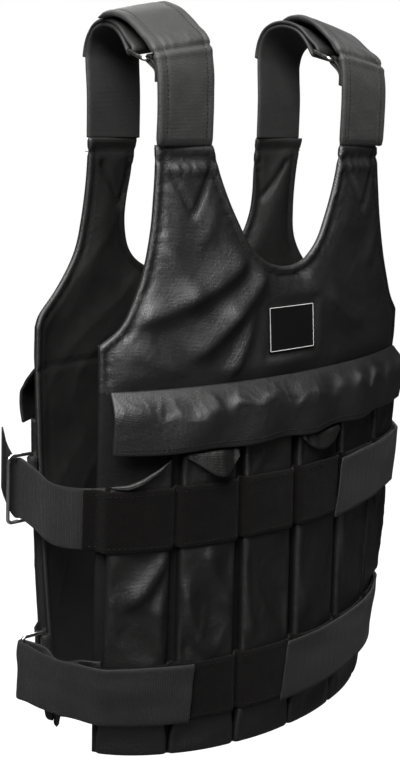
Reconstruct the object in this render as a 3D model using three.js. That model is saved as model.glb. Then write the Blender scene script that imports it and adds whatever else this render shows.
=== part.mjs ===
// Weighted vest: two padded panels, pocket rows under storm flaps, loop bands and straps.
// Millimetres, +Z up, the front faces -Y and the wearer's right side is -X.
import * as THREE from 'three';

// Body form: the hem is at height 0 while the pieces are made
const BIB_HEIGHT = 495;
const BODY_HALF_WIDTH = 224;
const BODY_HALF_DEPTH = 128;
const PANEL_HALF = 177;
const EDGE_MARGIN = 8.5;
const PANEL_THICK = 5;
const CLOTH = 1.6;
const CLEARANCE = 0.3;
const BAR_CLEARANCE = 0.6;

// Bibs
const FRONT_NECK_DROP = 96;
const BACK_NECK_DROP = 118;
const NECK_HALF = 73;
const ARM_OUTER = 127;
const ARMHOLE_DROP = 146;

// Pockets and flaps
const POCKETS = 6;
const POCKET_GAP = 8;
const POCKET_PITCH = (2 * (PANEL_HALF - EDGE_MARGIN) + POCKET_GAP) / POCKETS;
const POCKET_DEPTH = 9.5;
const POCKET_BOTTOM = 3;
const POCKET_TOP = 268;
const FLAP_TOP = 311;
const FLAP_DROP = 46;
const FLAP_INSET = 9;
const FLAP_HALF = PANEL_HALF - FLAP_INSET;
const FLAP_THICK = 3;
const FLAP_STAND = 15;

// Bands, side straps and their rings
const WEBBING_WIDTH = 50;
const WEBBING_THICK = 1.6;
const BAND_THICK = 1.5;
const BAND_DIP = 4;
const BAND_TAIL = 10;
const UPPER_BAND_MID = 210;
const LOWER_BAND_MID = 61;
const UPPER_RING_LIFT = 6;
const LOWER_RING_LIFT = 1;
const WIRE_DIAMETER = 3;
const RING_WIDTH = 25;
const RING_SLACK = 3;
const RING_CORNER = 2.5;
const RING_STANDOFF = 5;
const UPPER_LEFT_END = 50;
const LOWER_LEFT_END = -8;
const LOWER_RIGHT_END = -100;
const UPPER_RIGHT_TAIL = 30;
const TAIL_RISE = 27;
const FREE_END_STAND = 5;

// Shoulders
const SHOULDER_RISE = 105;
const ARCH_HALF_DEPTH = 49;
const PAD_WIDTH = 55;
const PAD_THICK = 5;
const FRONT_STRAP_X = 101;
const BACK_STRAP_X = 95;
const STRAP_WIDTH = 52;
const STRAP_THICK = 3;
const ARCH_RADIUS = 24;
const ARCH_CENTRE_Y = 20;
const FREE_END_ANGLE = 6;
const PAD_TAB_LENGTH = 14;

// Label
const LABEL_WIDTH = 52;
const LABEL_HEIGHT = 37;
const LABEL_MID = 350;
const LABEL_THICK = 0.8;

const FRONT = -1;
const BACK = 1;
const RIGHT = -1;
const LEFT = 1;

// Level sections of the body: height as a share of BIB_HEIGHT, width of BODY_HALF_WIDTH,
// depth and forward shift of the half ellipse as shares of BODY_HALF_DEPTH
const BODY_SECTIONS = [
  { height: 0.0, width: 0.786, depth: 0.94, shift: -0.219 },
  { height: 0.628, width: 1.0, depth: 0.703, shift: -0.109 },
  { height: 0.727, width: 1.0, depth: 0.625, shift: -0.07 },
  { height: 1.0, width: 1.0, depth: 0.391, shift: 0.031 },
  { height: 1.131, width: 1.0, depth: 0.344, shift: -0.016 },
];

// Armhole edges: height as a share of ARMHOLE_DROP under the bib top,
// out as a share of the way from ARM_OUTER to PANEL_HALF
const FRONT_ARMHOLE = [
  { height: 0.0, out: 0.0 },
  { height: 0.12, out: 0.01 },
  { height: 0.26, out: 0.05 },
  { height: 0.44, out: 0.12 },
  { height: 0.65, out: 0.27 },
  { height: 0.83, out: 0.49 },
  { height: 0.925, out: 0.66 },
  { height: 1.0, out: 0.92 },
];

const BACK_ARMHOLE = [
  { height: 0.0, out: -0.06 },
  { height: 0.12, out: -0.1 },
  { height: 0.28, out: -0.1 },
  { height: 0.45, out: -0.06 },
  { height: 0.6, out: 0.02 },
  { height: 0.72, out: 0.2 },
  { height: 0.84, out: 0.5 },
  { height: 0.945, out: 0.88 },
];

// Necklines: height as a share of the neck drop under the bib top, half as a share of NECK_HALF
const FRONT_NECKLINE = [
  { height: 0.0, half: 1.0 },
  { height: 0.21, half: 0.93 },
  { height: 0.42, half: 0.82 },
  { height: 0.6, half: 0.7 },
  { height: 0.78, half: 0.56 },
  { height: 0.9, half: 0.4 },
  { height: 0.97, half: 0.24 },
  { height: 1.0, half: 0.0 },
];

const BACK_NECKLINE = [
  { height: 0.0, half: 0.95 },
  { height: 0.21, half: 0.98 },
  { height: 0.42, half: 1.02 },
  { height: 0.6, half: 1.01 },
  { height: 0.78, half: 0.91 },
  { height: 0.9, half: 0.7 },
  { height: 0.97, half: 0.4 },
  { height: 1.0, half: 0.0 },
];

// The two panels: which way each faces and the edges it is cut to
const FRONT_PANEL = {
  side: FRONT,
  neckDrop: FRONT_NECK_DROP,
  neckline: FRONT_NECKLINE,
  armhole: FRONT_ARMHOLE,
};
const BACK_PANEL = {
  side: BACK,
  neckDrop: BACK_NECK_DROP,
  neckline: BACK_NECKLINE,
  armhole: BACK_ARMHOLE,
};

// Soft folds of the front bib: along and height are shares of PANEL_HALF and BIB_HEIGHT,
// rise and spread are shares of PANEL_THICK and POCKET_PITCH
const FOLDS = [
  { along: -0.32, height: 0.82, toAlong: -0.62, toHeight: 0.76, rise: 0.8, spread: 0.13 },
  { along: -0.62, height: 0.76, toAlong: -0.81, toHeight: 0.742, rise: 0.8, spread: 0.13 },
  { along: -0.19, height: 0.802, toAlong: -0.38, toHeight: 0.73, rise: 0.7, spread: 0.12 },
  { along: -0.38, height: 0.73, toAlong: -0.55, toHeight: 0.687, rise: 0.7, spread: 0.12 },
  { along: 0.13, height: 0.79, toAlong: 0.46, toHeight: 0.706, rise: 0.5, spread: 0.1 },
];

// Pocket mouths of the front, from the wearer's right: heights of the mouth's two ends and its middle
// as shares of POCKET_TOP, and how far the mouth gapes as a share of POCKET_DEPTH
const FRONT_MOUTHS = [
  { right: 0.9, middle: 0.905, left: 0.955, gape: 0.35 },
  { right: 0.98, middle: 0.915, left: 0.9, gape: 0.5 },
  { right: 1.0, middle: 1.0, left: 1.0, gape: 0.0 },
  { right: 0.985, middle: 0.955, left: 1.0, gape: 0.2 },
  { right: 1.0, middle: 1.0, left: 1.0, gape: 0.0 },
  { right: 1.0, middle: 0.99, left: 1.0, gape: 0.1 },
];
const PLAIN_MOUTH = { right: 1.0, middle: 0.99, left: 1.0, gape: 0.1 };

// Across a pocket face: place as a share of its width, swell as a share of POCKET_DEPTH
const FACE_SECTION = [
  { place: 0.0, swell: 0.82 },
  { place: 0.12, swell: 0.98 },
  { place: 0.5, swell: 1.06 },
  { place: 0.88, swell: 0.98 },
  { place: 1.0, swell: 0.82 },
];

// Down a flap: drop as a share of FLAP_DROP, stand as a share of FLAP_STAND
const FLAP_SECTION = [
  { drop: 0.0, stand: 0.13 },
  { drop: 0.1, stand: 0.5 },
  { drop: 0.28, stand: 0.9 },
  { drop: 0.6, stand: 1.0 },
  { drop: 1.0, stand: 0.98 },
];

// Outer line of a shoulder pad: depth as a share of ARCH_HALF_DEPTH, rise of SHOULDER_RISE
const PAD_LINE = [
  { depth: -1.03, rise: 0.0 },
  { depth: -1.02, rise: 0.16 },
  { depth: -0.99, rise: 0.31 },
  { depth: -0.94, rise: 0.44 },
  { depth: -0.86, rise: 0.56 },
  { depth: -0.71, rise: 0.68 },
  { depth: -0.47, rise: 0.81 },
  { depth: -0.2, rise: 0.91 },
  { depth: 0.08, rise: 0.98 },
  { depth: 0.33, rise: 1.0 },
  { depth: 0.52, rise: 0.99 },
];

// Free run of a side strap from the front panel's edge to its ring: along is the share of that way,
// out and sag are shares of WEBBING_WIDTH
const STRAP_RUN = [
  { along: 0.32, out: 0.22, sag: 0.12 },
  { along: 0.55, out: 0.26, sag: 0.16 },
  { along: 0.78, out: 0.27, sag: 0.08 },
];
const RETURN_RUN = [
  { along: 0.84, out: 0.55, sag: 0.0 },
  { along: 0.6, out: 0.5, sag: 0.02 },
  { along: 0.3, out: 0.4, sag: 0.02 },
  { along: 0.05, out: 0.27, sag: 0.0 },
];

const MATERIALS = {
  nylon: new THREE.MeshStandardMaterial({ color: 0x1c1b1d, roughness: 0.5, metalness: 0 }),
  loop: new THREE.MeshStandardMaterial({ color: 0x131111, roughness: 0.95, metalness: 0 }),
  webbing: new THREE.MeshStandardMaterial({ color: 0x2b2a2b, roughness: 0.8, metalness: 0 }),
  metal: new THREE.MeshStandardMaterial({ color: 0xc9c9c6, roughness: 0.25, metalness: 1 }),
  label: new THREE.MeshStandardMaterial({ color: 0x0d0d0e, roughness: 0.7, metalness: 0 }),
};

const vest = new THREE.Group();

// Table lookup: the value of one column where another column has the given value
function lookUp(table, from, to, value) {
  const last = table.length - 1;
  if (value <= table[0][from]) return table[0][to];
  if (value >= table[last][from]) return table[last][to];
  const i = table.findIndex((row) => row[from] >= value);
  const a = table[i - 1];
  const b = table[i];
  const share = (value - a[from]) / (b[from] - a[from]);
  return a[to] + (b[to] - a[to]) * share;
}

function mix(a, b, share) {
  return a + (b - a) * share;
}

// The half ellipse at one height, with its arc length from the middle
const sectionCache = new Map();

function bodySection(z) {
  const key = z.toFixed(3);
  if (sectionCache.has(key)) return sectionCache.get(key);
  const share = z / BIB_HEIGHT;
  const width = BODY_HALF_WIDTH * lookUp(BODY_SECTIONS, 'height', 'width', share);
  const depth = BODY_HALF_DEPTH * lookUp(BODY_SECTIONS, 'height', 'depth', share);
  const shift = BODY_HALF_DEPTH * lookUp(BODY_SECTIONS, 'height', 'shift', share);
  const steps = 120;
  const arc = [{ angle: 0, length: 0 }];
  for (let i = 1; i <= steps; i += 1) {
    const angle = (i / steps) * 0.62 * Math.PI;
    const before = arc[i - 1].angle;
    const dx = width * (Math.sin(angle) - Math.sin(before));
    const dy = depth * (Math.cos(angle) - Math.cos(before));
    arc.push({ angle, length: arc[i - 1].length + Math.hypot(dx, dy) });
  }
  const section = { width, depth, shift, arc };
  sectionCache.set(key, section);
  return section;
}

// A point on a panel: s runs along the cloth from the middle, off stands out from its outer face
function onBody(side, s, z, off) {
  const { width, depth, shift, arc } = bodySection(z);
  const angle = Math.sign(s) * lookUp(arc, 'length', 'angle', Math.abs(s));
  const nx = Math.sin(angle) / width;
  const ny = Math.cos(angle) / depth;
  const norm = Math.hypot(nx, ny);
  const x = width * Math.sin(angle) + (off * nx) / norm;
  const y = side * (shift + depth * Math.cos(angle) + (off * ny) / norm);
  return [x, y, z];
}

// Closed cloth solid from grids of paired points: pointAt(row, column, face), face 1 outside, 0 inside
function clothSolid(patches) {
  const index = new Map();
  const outer = [];
  const inner = [];
  const sheet = [];
  const vertex = (patch, row, column) => {
    const a = patch.pointAt(row, column, 1);
    const b = patch.pointAt(row, column, 0);
    const key = [...a, ...b].map((v) => (Math.round(v * 500) / 500).toFixed(3)).join();
    if (!index.has(key)) {
      index.set(key, outer.length);
      outer.push(a);
      inner.push(b);
    }
    return index.get(key);
  };
  const addTriangle = (a, b, c) => {
    if (a !== b && b !== c && c !== a) sheet.push([a, b, c]);
  };
  for (const patch of patches) {
    for (let row = 0; row < patch.rows - 1; row += 1) {
      for (let column = 0; column < patch.columns - 1; column += 1) {
        const a = vertex(patch, row, column);
        const b = vertex(patch, row, column + 1);
        const c = vertex(patch, row + 1, column + 1);
        const d = vertex(patch, row + 1, column);
        addTriangle(a, b, c);
        addTriangle(a, c, d);
      }
    }
  }
  const count = outer.length;
  const edges = new Set(sheet.flatMap(([a, b, c]) => [`${a}_${b}`, `${b}_${c}`, `${c}_${a}`]));
  const faces = [];
  for (const [a, b, c] of sheet) {
    faces.push([a, b, c], [count + a, count + c, count + b]);
    for (const [p, q] of [[a, b], [b, c], [c, a]]) {
      if (!edges.has(`${q}_${p}`)) faces.push([q, p, count + p], [q, count + p, count + q]);
    }
  }
  return closedGeometry([...outer, ...inner], faces);
}

// Indexed geometry whose faces point out
function closedGeometry(points, faces) {
  let volume = 0;
  for (const [a, b, c] of faces) {
    const [p, q, r] = [points[a], points[b], points[c]];
    volume += p[0] * (q[1] * r[2] - q[2] * r[1]);
    volume += p[1] * (q[2] * r[0] - q[0] * r[2]);
    volume += p[2] * (q[0] * r[1] - q[1] * r[0]);
  }
  const turned = volume > 0 ? faces : faces.map(([a, b, c]) => [a, c, b]);
  const geometry = new THREE.BufferGeometry();
  geometry.setAttribute('position', new THREE.Float32BufferAttribute(points.flat(), 3));
  geometry.setIndex(turned.flat());
  geometry.computeVertexNormals();
  return geometry;
}

function addPiece(name, geometry, material) {
  const mesh = new THREE.Mesh(geometry, material);
  mesh.name = name;
  vest.add(mesh);
}

// Rise of the front bib's folds at a place on the panel
function foldRise(s, z) {
  let rise = 0;
  for (const fold of FOLDS) {
    const ax = fold.along * PANEL_HALF;
    const az = fold.height * BIB_HEIGHT;
    const bx = fold.toAlong * PANEL_HALF;
    const bz = fold.toHeight * BIB_HEIGHT;
    const length = Math.hypot(bx - ax, bz - az);
    const along = ((s - ax) * (bx - ax) + (z - az) * (bz - az)) / length ** 2;
    const share = Math.min(1, Math.max(0, along));
    const away = Math.hypot(s - mix(ax, bx, share), z - mix(az, bz, share));
    const spread = fold.spread * POCKET_PITCH;
    rise = Math.max(rise, fold.rise * PANEL_THICK * Math.exp(-((away / spread) ** 2)));
  }
  return rise;
}

// How far the panel's outer face stands out at a place
function panelFace(side, s, z) {
  return side === FRONT ? foldRise(s, z) : 0;
}

function panelOuterEdge(panel, z) {
  const drop = (BIB_HEIGHT - z) / ARMHOLE_DROP;
  if (drop > 1) return PANEL_HALF;
  return mix(ARM_OUTER, PANEL_HALF, lookUp(panel.armhole, 'height', 'out', drop));
}

function panelInnerEdge(panel, z) {
  const drop = (BIB_HEIGHT - z) / panel.neckDrop;
  if (drop >= 1) return 0;
  return NECK_HALF * lookUp(panel.neckline, 'height', 'half', drop);
}

// Heights of a panel's mesh rows: even below the flap, then through the points of its edges
function panelRows(panel) {
  const rows = [];
  const lowerRows = 5;
  const corner = BIB_HEIGHT - ARMHOLE_DROP;
  for (let i = 0; i < lowerRows; i += 1) rows.push((i / lowerRows) * FLAP_TOP);
  rows.push(FLAP_TOP, (FLAP_TOP + corner) / 2, corner - 2 * CLEARANCE);
  for (const row of panel.armhole) rows.push(BIB_HEIGHT - row.height * ARMHOLE_DROP);
  for (const row of panel.neckline) rows.push(BIB_HEIGHT - row.height * panel.neckDrop);
  rows.sort((a, b) => a - b);
  return rows.filter((z, i) => i === 0 || z - rows[i - 1] > CLEARANCE);
}

function addPanel(name, panel) {
  const rows = panelRows(panel);
  const columns = 8;
  const patches = [RIGHT, LEFT].map((hand) => ({
    rows: rows.length,
    columns,
    pointAt: (row, column, face) => {
      const z = rows[row];
      const share = column / (columns - 1);
      const across = hand === LEFT ? share : 1 - share;
      const s = hand * mix(panelInnerEdge(panel, z), panelOuterEdge(panel, z), across);
      return onBody(panel.side, s, z, panelFace(panel.side, s, z) - (face ? 0 : PANEL_THICK));
    },
  }));
  addPiece(name, clothSolid(patches), MATERIALS.nylon);
}

// One end of a pocket face, counted from the wearer's right
function pocketEdge(pocket, end) {
  const middle = (pocket - (POCKETS - 1) / 2) * POCKET_PITCH;
  return middle + (end - 0.5) * (POCKET_PITCH - POCKET_GAP);
}

// How far a pocket face stands out from the panel, away from the mouth
function pocketSwell(place) {
  return POCKET_DEPTH * lookUp(FACE_SECTION, 'place', 'swell', place);
}

function mouthHeight(mouth, place) {
  const rightHalf = mix(mouth.right, mouth.middle, place * 2);
  const leftHalf = mix(mouth.middle, mouth.left, place * 2 - 1);
  return POCKET_TOP * (place < 0.5 ? rightHalf : leftHalf);
}

// An open-topped tray: face, two sides and a bottom, its back edges against the panel
function addPocket(name, side, pocket, mouth) {
  const places = [0, ...FACE_SECTION.map((row) => row.place), 1];
  const risers = [0, 0.35, 0.7, 1];
  const levels = risers.length + 2;
  const gapeFrom = UPPER_BAND_MID + WEBBING_WIDTH / 2 + CLEARANCE;
  const pointAt = (row, column, face) => {
    const wall = face ? 0 : CLOTH;
    const place = places[column];
    const rim = column === 0 || column === places.length - 1;
    const s = mix(pocketEdge(pocket, 0) + wall, pocketEdge(pocket, 1) - wall, place);
    const level = Math.max(0, row - 1);
    const bottom = POCKET_BOTTOM + wall;
    const above = (level - risers.length + 1) / 2;
    const mouthZ = mix(gapeFrom, mouthHeight(mouth, place), above);
    const z = above > 0 ? mouthZ : mix(bottom, gapeFrom, risers[level]);
    const opening = Math.max(0, (z - gapeFrom) / (POCKET_TOP - gapeFrom));
    const gape = mouth.gape * POCKET_DEPTH * opening * Math.sin(Math.PI * place);
    const deep = pocketSwell(place) + gape - wall;
    const flat = rim || row === 0;
    return onBody(side, s, z, flat ? CLEARANCE : deep);
  };
  const patch = { rows: levels + 1, columns: places.length, pointAt };
  addPiece(name, clothSolid([patch]), MATERIALS.nylon);
}

// Storm flap sewn along its top edge, standing off over the pocket mouths
function addFlap(name, side) {
  const columns = 25;
  const pointAt = (row, column, face) => {
    const { drop, stand } = FLAP_SECTION[row];
    const s = mix(-FLAP_HALF, FLAP_HALF, column / (columns - 1));
    const wave = row > 1 ? 0.06 * FLAP_STAND * Math.sin((s / POCKET_PITCH) * 2 * Math.PI) : 0;
    const root = CLEARANCE + (face ? FLAP_THICK : 0);
    const off = row === 0 ? root : FLAP_STAND * stand + wave + (face ? FLAP_THICK / 2 : -FLAP_THICK / 2);
    const lean = row === 1 ? (face ? FLAP_THICK / 3 : -FLAP_THICK / 3) : 0;
    return onBody(side, s, FLAP_TOP - drop * FLAP_DROP + lean, off);
  };
  const patch = { rows: FLAP_SECTION.length, columns, pointAt };
  addPiece(name, clothSolid([patch]), MATERIALS.nylon);
}

// Loop band over the pocket faces, dipping between them, its tails past the panel's edges
function addBand(name, side, middle) {
  const layers = side === FRONT ? 1 : 2;
  const overRoot = 2 * CLEARANCE + layers * (WEBBING_THICK + CLEARANCE);
  const outside = pocketEdge(POCKETS - 1, 1);
  const tail = side === FRONT ? BAND_TAIL : 0;
  const line = [{ s: -PANEL_HALF - tail, off: overRoot }];
  if (tail > 0) line.push({ s: -PANEL_HALF, off: overRoot });
  line.push({ s: -mix(outside, PANEL_HALF, 0.55), off: overRoot + 0.2 * POCKET_DEPTH });
  for (let pocket = 0; pocket < POCKETS; pocket += 1) {
    for (const row of FACE_SECTION) {
      const end = row.place === 0 ? -1 : row.place === 1 ? 1 : 0;
      const s = mix(pocketEdge(pocket, 0), pocketEdge(pocket, 1), row.place) + end * 2 * CLEARANCE;
      line.push({ s, off: pocketSwell(row.place) + CLEARANCE * (end ? 1 : 1.5) });
    }
    if (pocket < POCKETS - 1) {
      const s = (pocketEdge(pocket, 1) + pocketEdge(pocket + 1, 0)) / 2;
      line.push({ s, off: POCKET_DEPTH - BAND_DIP });
    }
  }
  line.push({ s: mix(outside, PANEL_HALF, 0.55), off: overRoot + 0.2 * POCKET_DEPTH });
  if (tail > 0) line.push({ s: PANEL_HALF, off: overRoot });
  line.push({ s: PANEL_HALF + tail, off: overRoot });
  const rows = 2;
  const pointAt = (row, column, face) => {
    const z = middle + WEBBING_WIDTH * (row / (rows - 1) - 0.5);
    const { s, off } = line[column];
    return onBody(side, s, z, off + (face ? BAND_THICK : 0));
  };
  addPiece(name, clothSolid([{ rows, columns: line.length, pointAt }]), MATERIALS.loop);
}

// Upright ribbon along a plan line that may differ a little with height: stations(z) gives
// { x, y, sag } in order, and each height has the same number of stations
function ribbonSolid(middle, width, thick, stations) {
  const rows = [-0.5, 0.5].map((share) => middle + share * width);
  const lines = rows.map((z) => stations(z));
  const pointAt = (row, column, face) => {
    const line = lines[row];
    const here = line[column];
    const before = line[Math.max(0, column - 1)];
    const after = line[Math.min(line.length - 1, column + 1)];
    const dx = after.x - before.x;
    const dy = after.y - before.y;
    const norm = Math.hypot(dx, dy);
    const half = (face ? 0.5 : -0.5) * thick;
    return [here.x + (dy / norm) * half, here.y - (dx / norm) * half, rows[row] - here.sag];
  };
  return clothSolid([{ rows: rows.length, columns: lines[0].length, pointAt }]);
}

// A station on the body, for the wearer's left side
function bodyStation(side, s, z, off, sag = 0) {
  const [x, y] = onBody(side, s, z, off);
  return { x, y, sag };
}

// Part of a circle in plan, round a ring's bar
function aroundBar(bar, radius, fromDegrees, toDegrees, steps, lift = 0) {
  const stations = [];
  for (let i = 0; i <= steps; i += 1) {
    const angle = THREE.MathUtils.degToRad(mix(fromDegrees, toDegrees, i / steps));
    stations.push({ x: bar.x + radius * Math.cos(angle), y: bar.y + radius * Math.sin(angle), sag: -lift });
  }
  return stations;
}

function mirrored(stations, hand) {
  return stations.map(({ x, y, sag }) => ({ x: hand * x, y, sag }));
}

// Where a side ring hangs, for the wearer's left: its bar in the tab, its outer bar and their direction
function ringPlace(middle) {
  const off = CLEARANCE * 1.5 + WEBBING_THICK;
  const [x, y] = onBody(BACK, PANEL_HALF + RING_STANDOFF, middle, off);
  const tabBar = new THREE.Vector2(x, y);
  const direction = new THREE.Vector2(1, 0.07).normalize();
  const outerBar = tabBar.clone().addScaledVector(direction, RING_WIDTH - WIRE_DIAMETER);
  return { tabBar, outerBar, direction };
}

// Rounded rectangular wire ring about a centre, in the plane of two unit vectors
function addRing(name, centre, across, up, halfAcross, halfUp) {
  const sides = 6;
  const radius = WIRE_DIAMETER / 2;
  const normal = new THREE.Vector3().crossVectors(across, up);
  const corners = [[1, -1, -90], [1, 1, 0], [-1, 1, 90], [-1, -1, 180]];
  const points = [];
  for (const [a, b, start] of corners) {
    for (const turn of [0, 45, 90]) {
      const angle = THREE.MathUtils.degToRad(start + turn);
      const core = centre.clone();
      core.addScaledVector(across, a * (halfAcross - RING_CORNER) + RING_CORNER * Math.cos(angle));
      core.addScaledVector(up, b * (halfUp - RING_CORNER) + RING_CORNER * Math.sin(angle));
      const out = across.clone().multiplyScalar(Math.cos(angle)).addScaledVector(up, Math.sin(angle));
      for (let i = 0; i < sides; i += 1) {
        const round = (i / sides) * 2 * Math.PI;
        const point = core.clone().addScaledVector(out, radius * Math.cos(round));
        points.push(point.addScaledVector(normal, radius * Math.sin(round)).toArray());
      }
    }
  }
  const faces = [];
  const stations = points.length / sides;
  for (let i = 0; i < stations; i += 1) {
    const next = (i + 1) % stations;
    for (let j = 0; j < sides; j += 1) {
      const k = (j + 1) % sides;
      const [a, b, c, d] = [i * sides + j, i * sides + k, next * sides + k, next * sides + j];
      faces.push([a, b, c], [a, c, d]);
    }
  }
  addPiece(name, closedGeometry(points, faces), MATERIALS.metal);
}

function addSideRing(name, hand, middle) {
  const { tabBar, outerBar, direction } = ringPlace(middle);
  const halfway = tabBar.clone().lerp(outerBar, 0.5);
  const centre = new THREE.Vector3(hand * halfway.x, halfway.y, middle);
  const across = new THREE.Vector3(hand * direction.x, direction.y, 0);
  const halfUp = (WEBBING_WIDTH + RING_SLACK + WIRE_DIAMETER) / 2;
  addRing(name, centre, across, new THREE.Vector3(0, 0, 1), (RING_WIDTH - WIRE_DIAMETER) / 2, halfUp);
}

// Webbing tab sewn on the back panel's edge and folded round the ring's inner bar
function addRingTab(name, hand, middle) {
  const { tabBar } = ringPlace(middle);
  const radius = WIRE_DIAMETER / 2 + BAR_CLEARANCE + WEBBING_THICK / 2;
  const firstOff = CLEARANCE + WEBBING_THICK / 2;
  const secondOff = firstOff + WEBBING_THICK + CLEARANCE;
  const root = mix(pocketEdge(POCKETS - 1, 1), PANEL_HALF, 0.2);
  const beyond = PANEL_HALF + 3 * CLEARANCE;
  const [edgeX, edgeY] = onBody(BACK, PANEL_HALF, middle, secondOff / 2);
  const away = THREE.MathUtils.radToDeg(Math.atan2(tabBar.y - edgeY, tabBar.x - edgeX));
  const eye = aroundBar(tabBar, radius, away + 110, away - 110, 7);
  const stations = (z) => {
    const outerLeg = [root, PANEL_HALF].map((s) => bodyStation(BACK, s, z, secondOff));
    const innerLeg = [beyond, root].map((s) => bodyStation(BACK, s, z, firstOff));
    return mirrored([...outerLeg, ...eye, ...innerLeg], hand);
  };
  addPiece(name, ribbonSolid(middle, WEBBING_WIDTH, WEBBING_THICK, stations), MATERIALS.webbing);
}

// A side strap from its root under the band's tail, along the open side to the ring
function strapRun(z, middle, lift) {
  const off = CLEARANCE + WEBBING_THICK / 2;
  const root = mix(pocketEdge(POCKETS - 1, 1), PANEL_HALF, 0.2);
  const stations = [root, PANEL_HALF, PANEL_HALF + BAND_TAIL].map((s) => bodyStation(FRONT, s, z, off));
  return [...stations, ...freeRun(STRAP_RUN, z, middle, lift)];
}

function freeRun(table, z, middle, lift) {
  const front = onBody(FRONT, PANEL_HALF, z, 0);
  const back = onBody(BACK, PANEL_HALF, middle, 0);
  return table.map(({ along, out, sag }) => ({
    x: mix(front[0], back[0], along) + out * WEBBING_WIDTH,
    y: mix(front[1], back[1], along),
    sag: sag * WEBBING_WIDTH - lift * along,
  }));
}

// A strap folded round the ring's outer bar and brought forward over the pockets to its free end.
// stand is how far the free end stands off the pockets, lift how far the ring hangs above the band
function addFoldedStrap(name, hand, middle, lift, freeEnd, stand) {
  const { outerBar } = ringPlace(middle + lift);
  const radius = WIRE_DIAMETER / 2 + BAR_CLEARANCE + WEBBING_THICK / 2;
  const widest = Math.max(...FACE_SECTION.map((row) => row.swell)) * POCKET_DEPTH;
  const over = widest + BAND_THICK + 5 * CLEARANCE + WEBBING_THICK / 2;
  const start = pocketEdge(POCKETS - 1, 1);
  const end = hand * freeEnd;
  const pieces = Math.round((start - end) / (POCKET_PITCH / 4));
  const stations = (z) => {
    const fold = aroundBar(outerBar, radius, 190, -30, 6, lift);
    const lying = [];
    for (let i = 0; i <= pieces; i += 1) {
      const share = i / pieces;
      const off = over + stand * share ** 4;
      lying.push(bodyStation(FRONT, mix(start, end, share), z, off));
    }
    const back = freeRun(RETURN_RUN, z, middle, lift);
    return mirrored([...strapRun(z, middle, lift), ...fold, ...back, ...lying], hand);
  };
  addPiece(name, ribbonSolid(middle, WEBBING_WIDTH, WEBBING_THICK, stations), MATERIALS.webbing);
}

// A strap passed through the ring and left loose, its end turned up behind the outer bar
function addLooseStrap(name, hand, middle, lift) {
  const { tabBar, outerBar } = ringPlace(middle + lift);
  const through = (tabBar.x + outerBar.x) / 2;
  const behind = outerBar.y + WIRE_DIAMETER + WEBBING_THICK;
  const reach = outerBar.x + UPPER_RIGHT_TAIL / 3;
  const tail = [
    { x: through, y: tabBar.y - WEBBING_THICK, sag: -lift },
    { x: mix(through, outerBar.x, 0.2), y: behind - WEBBING_THICK, sag: -lift },
    { x: mix(through, outerBar.x, 0.6), y: behind, sag: -lift - TAIL_RISE * 0.25 },
    { x: outerBar.x, y: behind + WEBBING_THICK, sag: -lift - TAIL_RISE * 0.6 },
    { x: reach, y: behind, sag: -lift - TAIL_RISE },
  ];
  const stations = (z) => mirrored([...strapRun(z, middle, lift), ...tail], hand);
  addPiece(name, ribbonSolid(middle, WEBBING_WIDTH, WEBBING_THICK, stations), MATERIALS.webbing);
}

// Ribbon lying across the shoulders: stations hold y and z, middleAt(y) is its middle across
function archSolid(stations, width, outerOff, innerOff, middleAt) {
  const pointAt = (row, column, face) => {
    const here = stations[column];
    const before = stations[Math.max(0, column - 1)];
    const after = stations[Math.min(stations.length - 1, column + 1)];
    const dy = after.y - before.y;
    const dz = after.z - before.z;
    const norm = Math.hypot(dy, dz);
    const off = face ? outerOff : innerOff;
    const y = here.y - (dz / norm) * off;
    return [middleAt(here.y) + (row - 0.5) * width, y, here.z + (dy / norm) * off];
  };
  return clothSolid([{ rows: 2, columns: stations.length, pointAt }]);
}

// Part of a circle in the upright plane
function archArc(centre, radius, fromDegrees, toDegrees, steps) {
  const stations = [];
  for (let i = 0; i <= steps; i += 1) {
    const angle = THREE.MathUtils.degToRad(mix(fromDegrees, toDegrees, i / steps));
    stations.push({ y: centre.y + radius * Math.cos(angle), z: centre.z + radius * Math.sin(angle) });
  }
  return stations;
}

const CROWN = BIB_HEIGHT + SHOULDER_RISE;
const BAR_WRAP = WIRE_DIAMETER / 2 + BAR_CLEARANCE + STRAP_THICK / 2;
const RETURN_RADIUS = ARCH_RADIUS + 2 * BAR_WRAP;
const ARCH_CENTRE = {
  y: ARCH_CENTRE_Y,
  z: CROWN - PAD_THICK - 3 * CLEARANCE - STRAP_THICK / 2 - RETURN_RADIUS,
};

// Padded strap from the front bib's top, up over the ring and the crown
function addShoulderPad(name, hand) {
  const stations = PAD_LINE.map(({ depth, rise }) => ({
    y: depth * ARCH_HALF_DEPTH,
    z: BIB_HEIGHT + CLEARANCE + rise * (SHOULDER_RISE - CLEARANCE),
  }));
  const solid = archSolid(stations, PAD_WIDTH, 0, -PAD_THICK, () => hand * FRONT_STRAP_X);
  addPiece(name, solid, MATERIALS.nylon);
}

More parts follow.
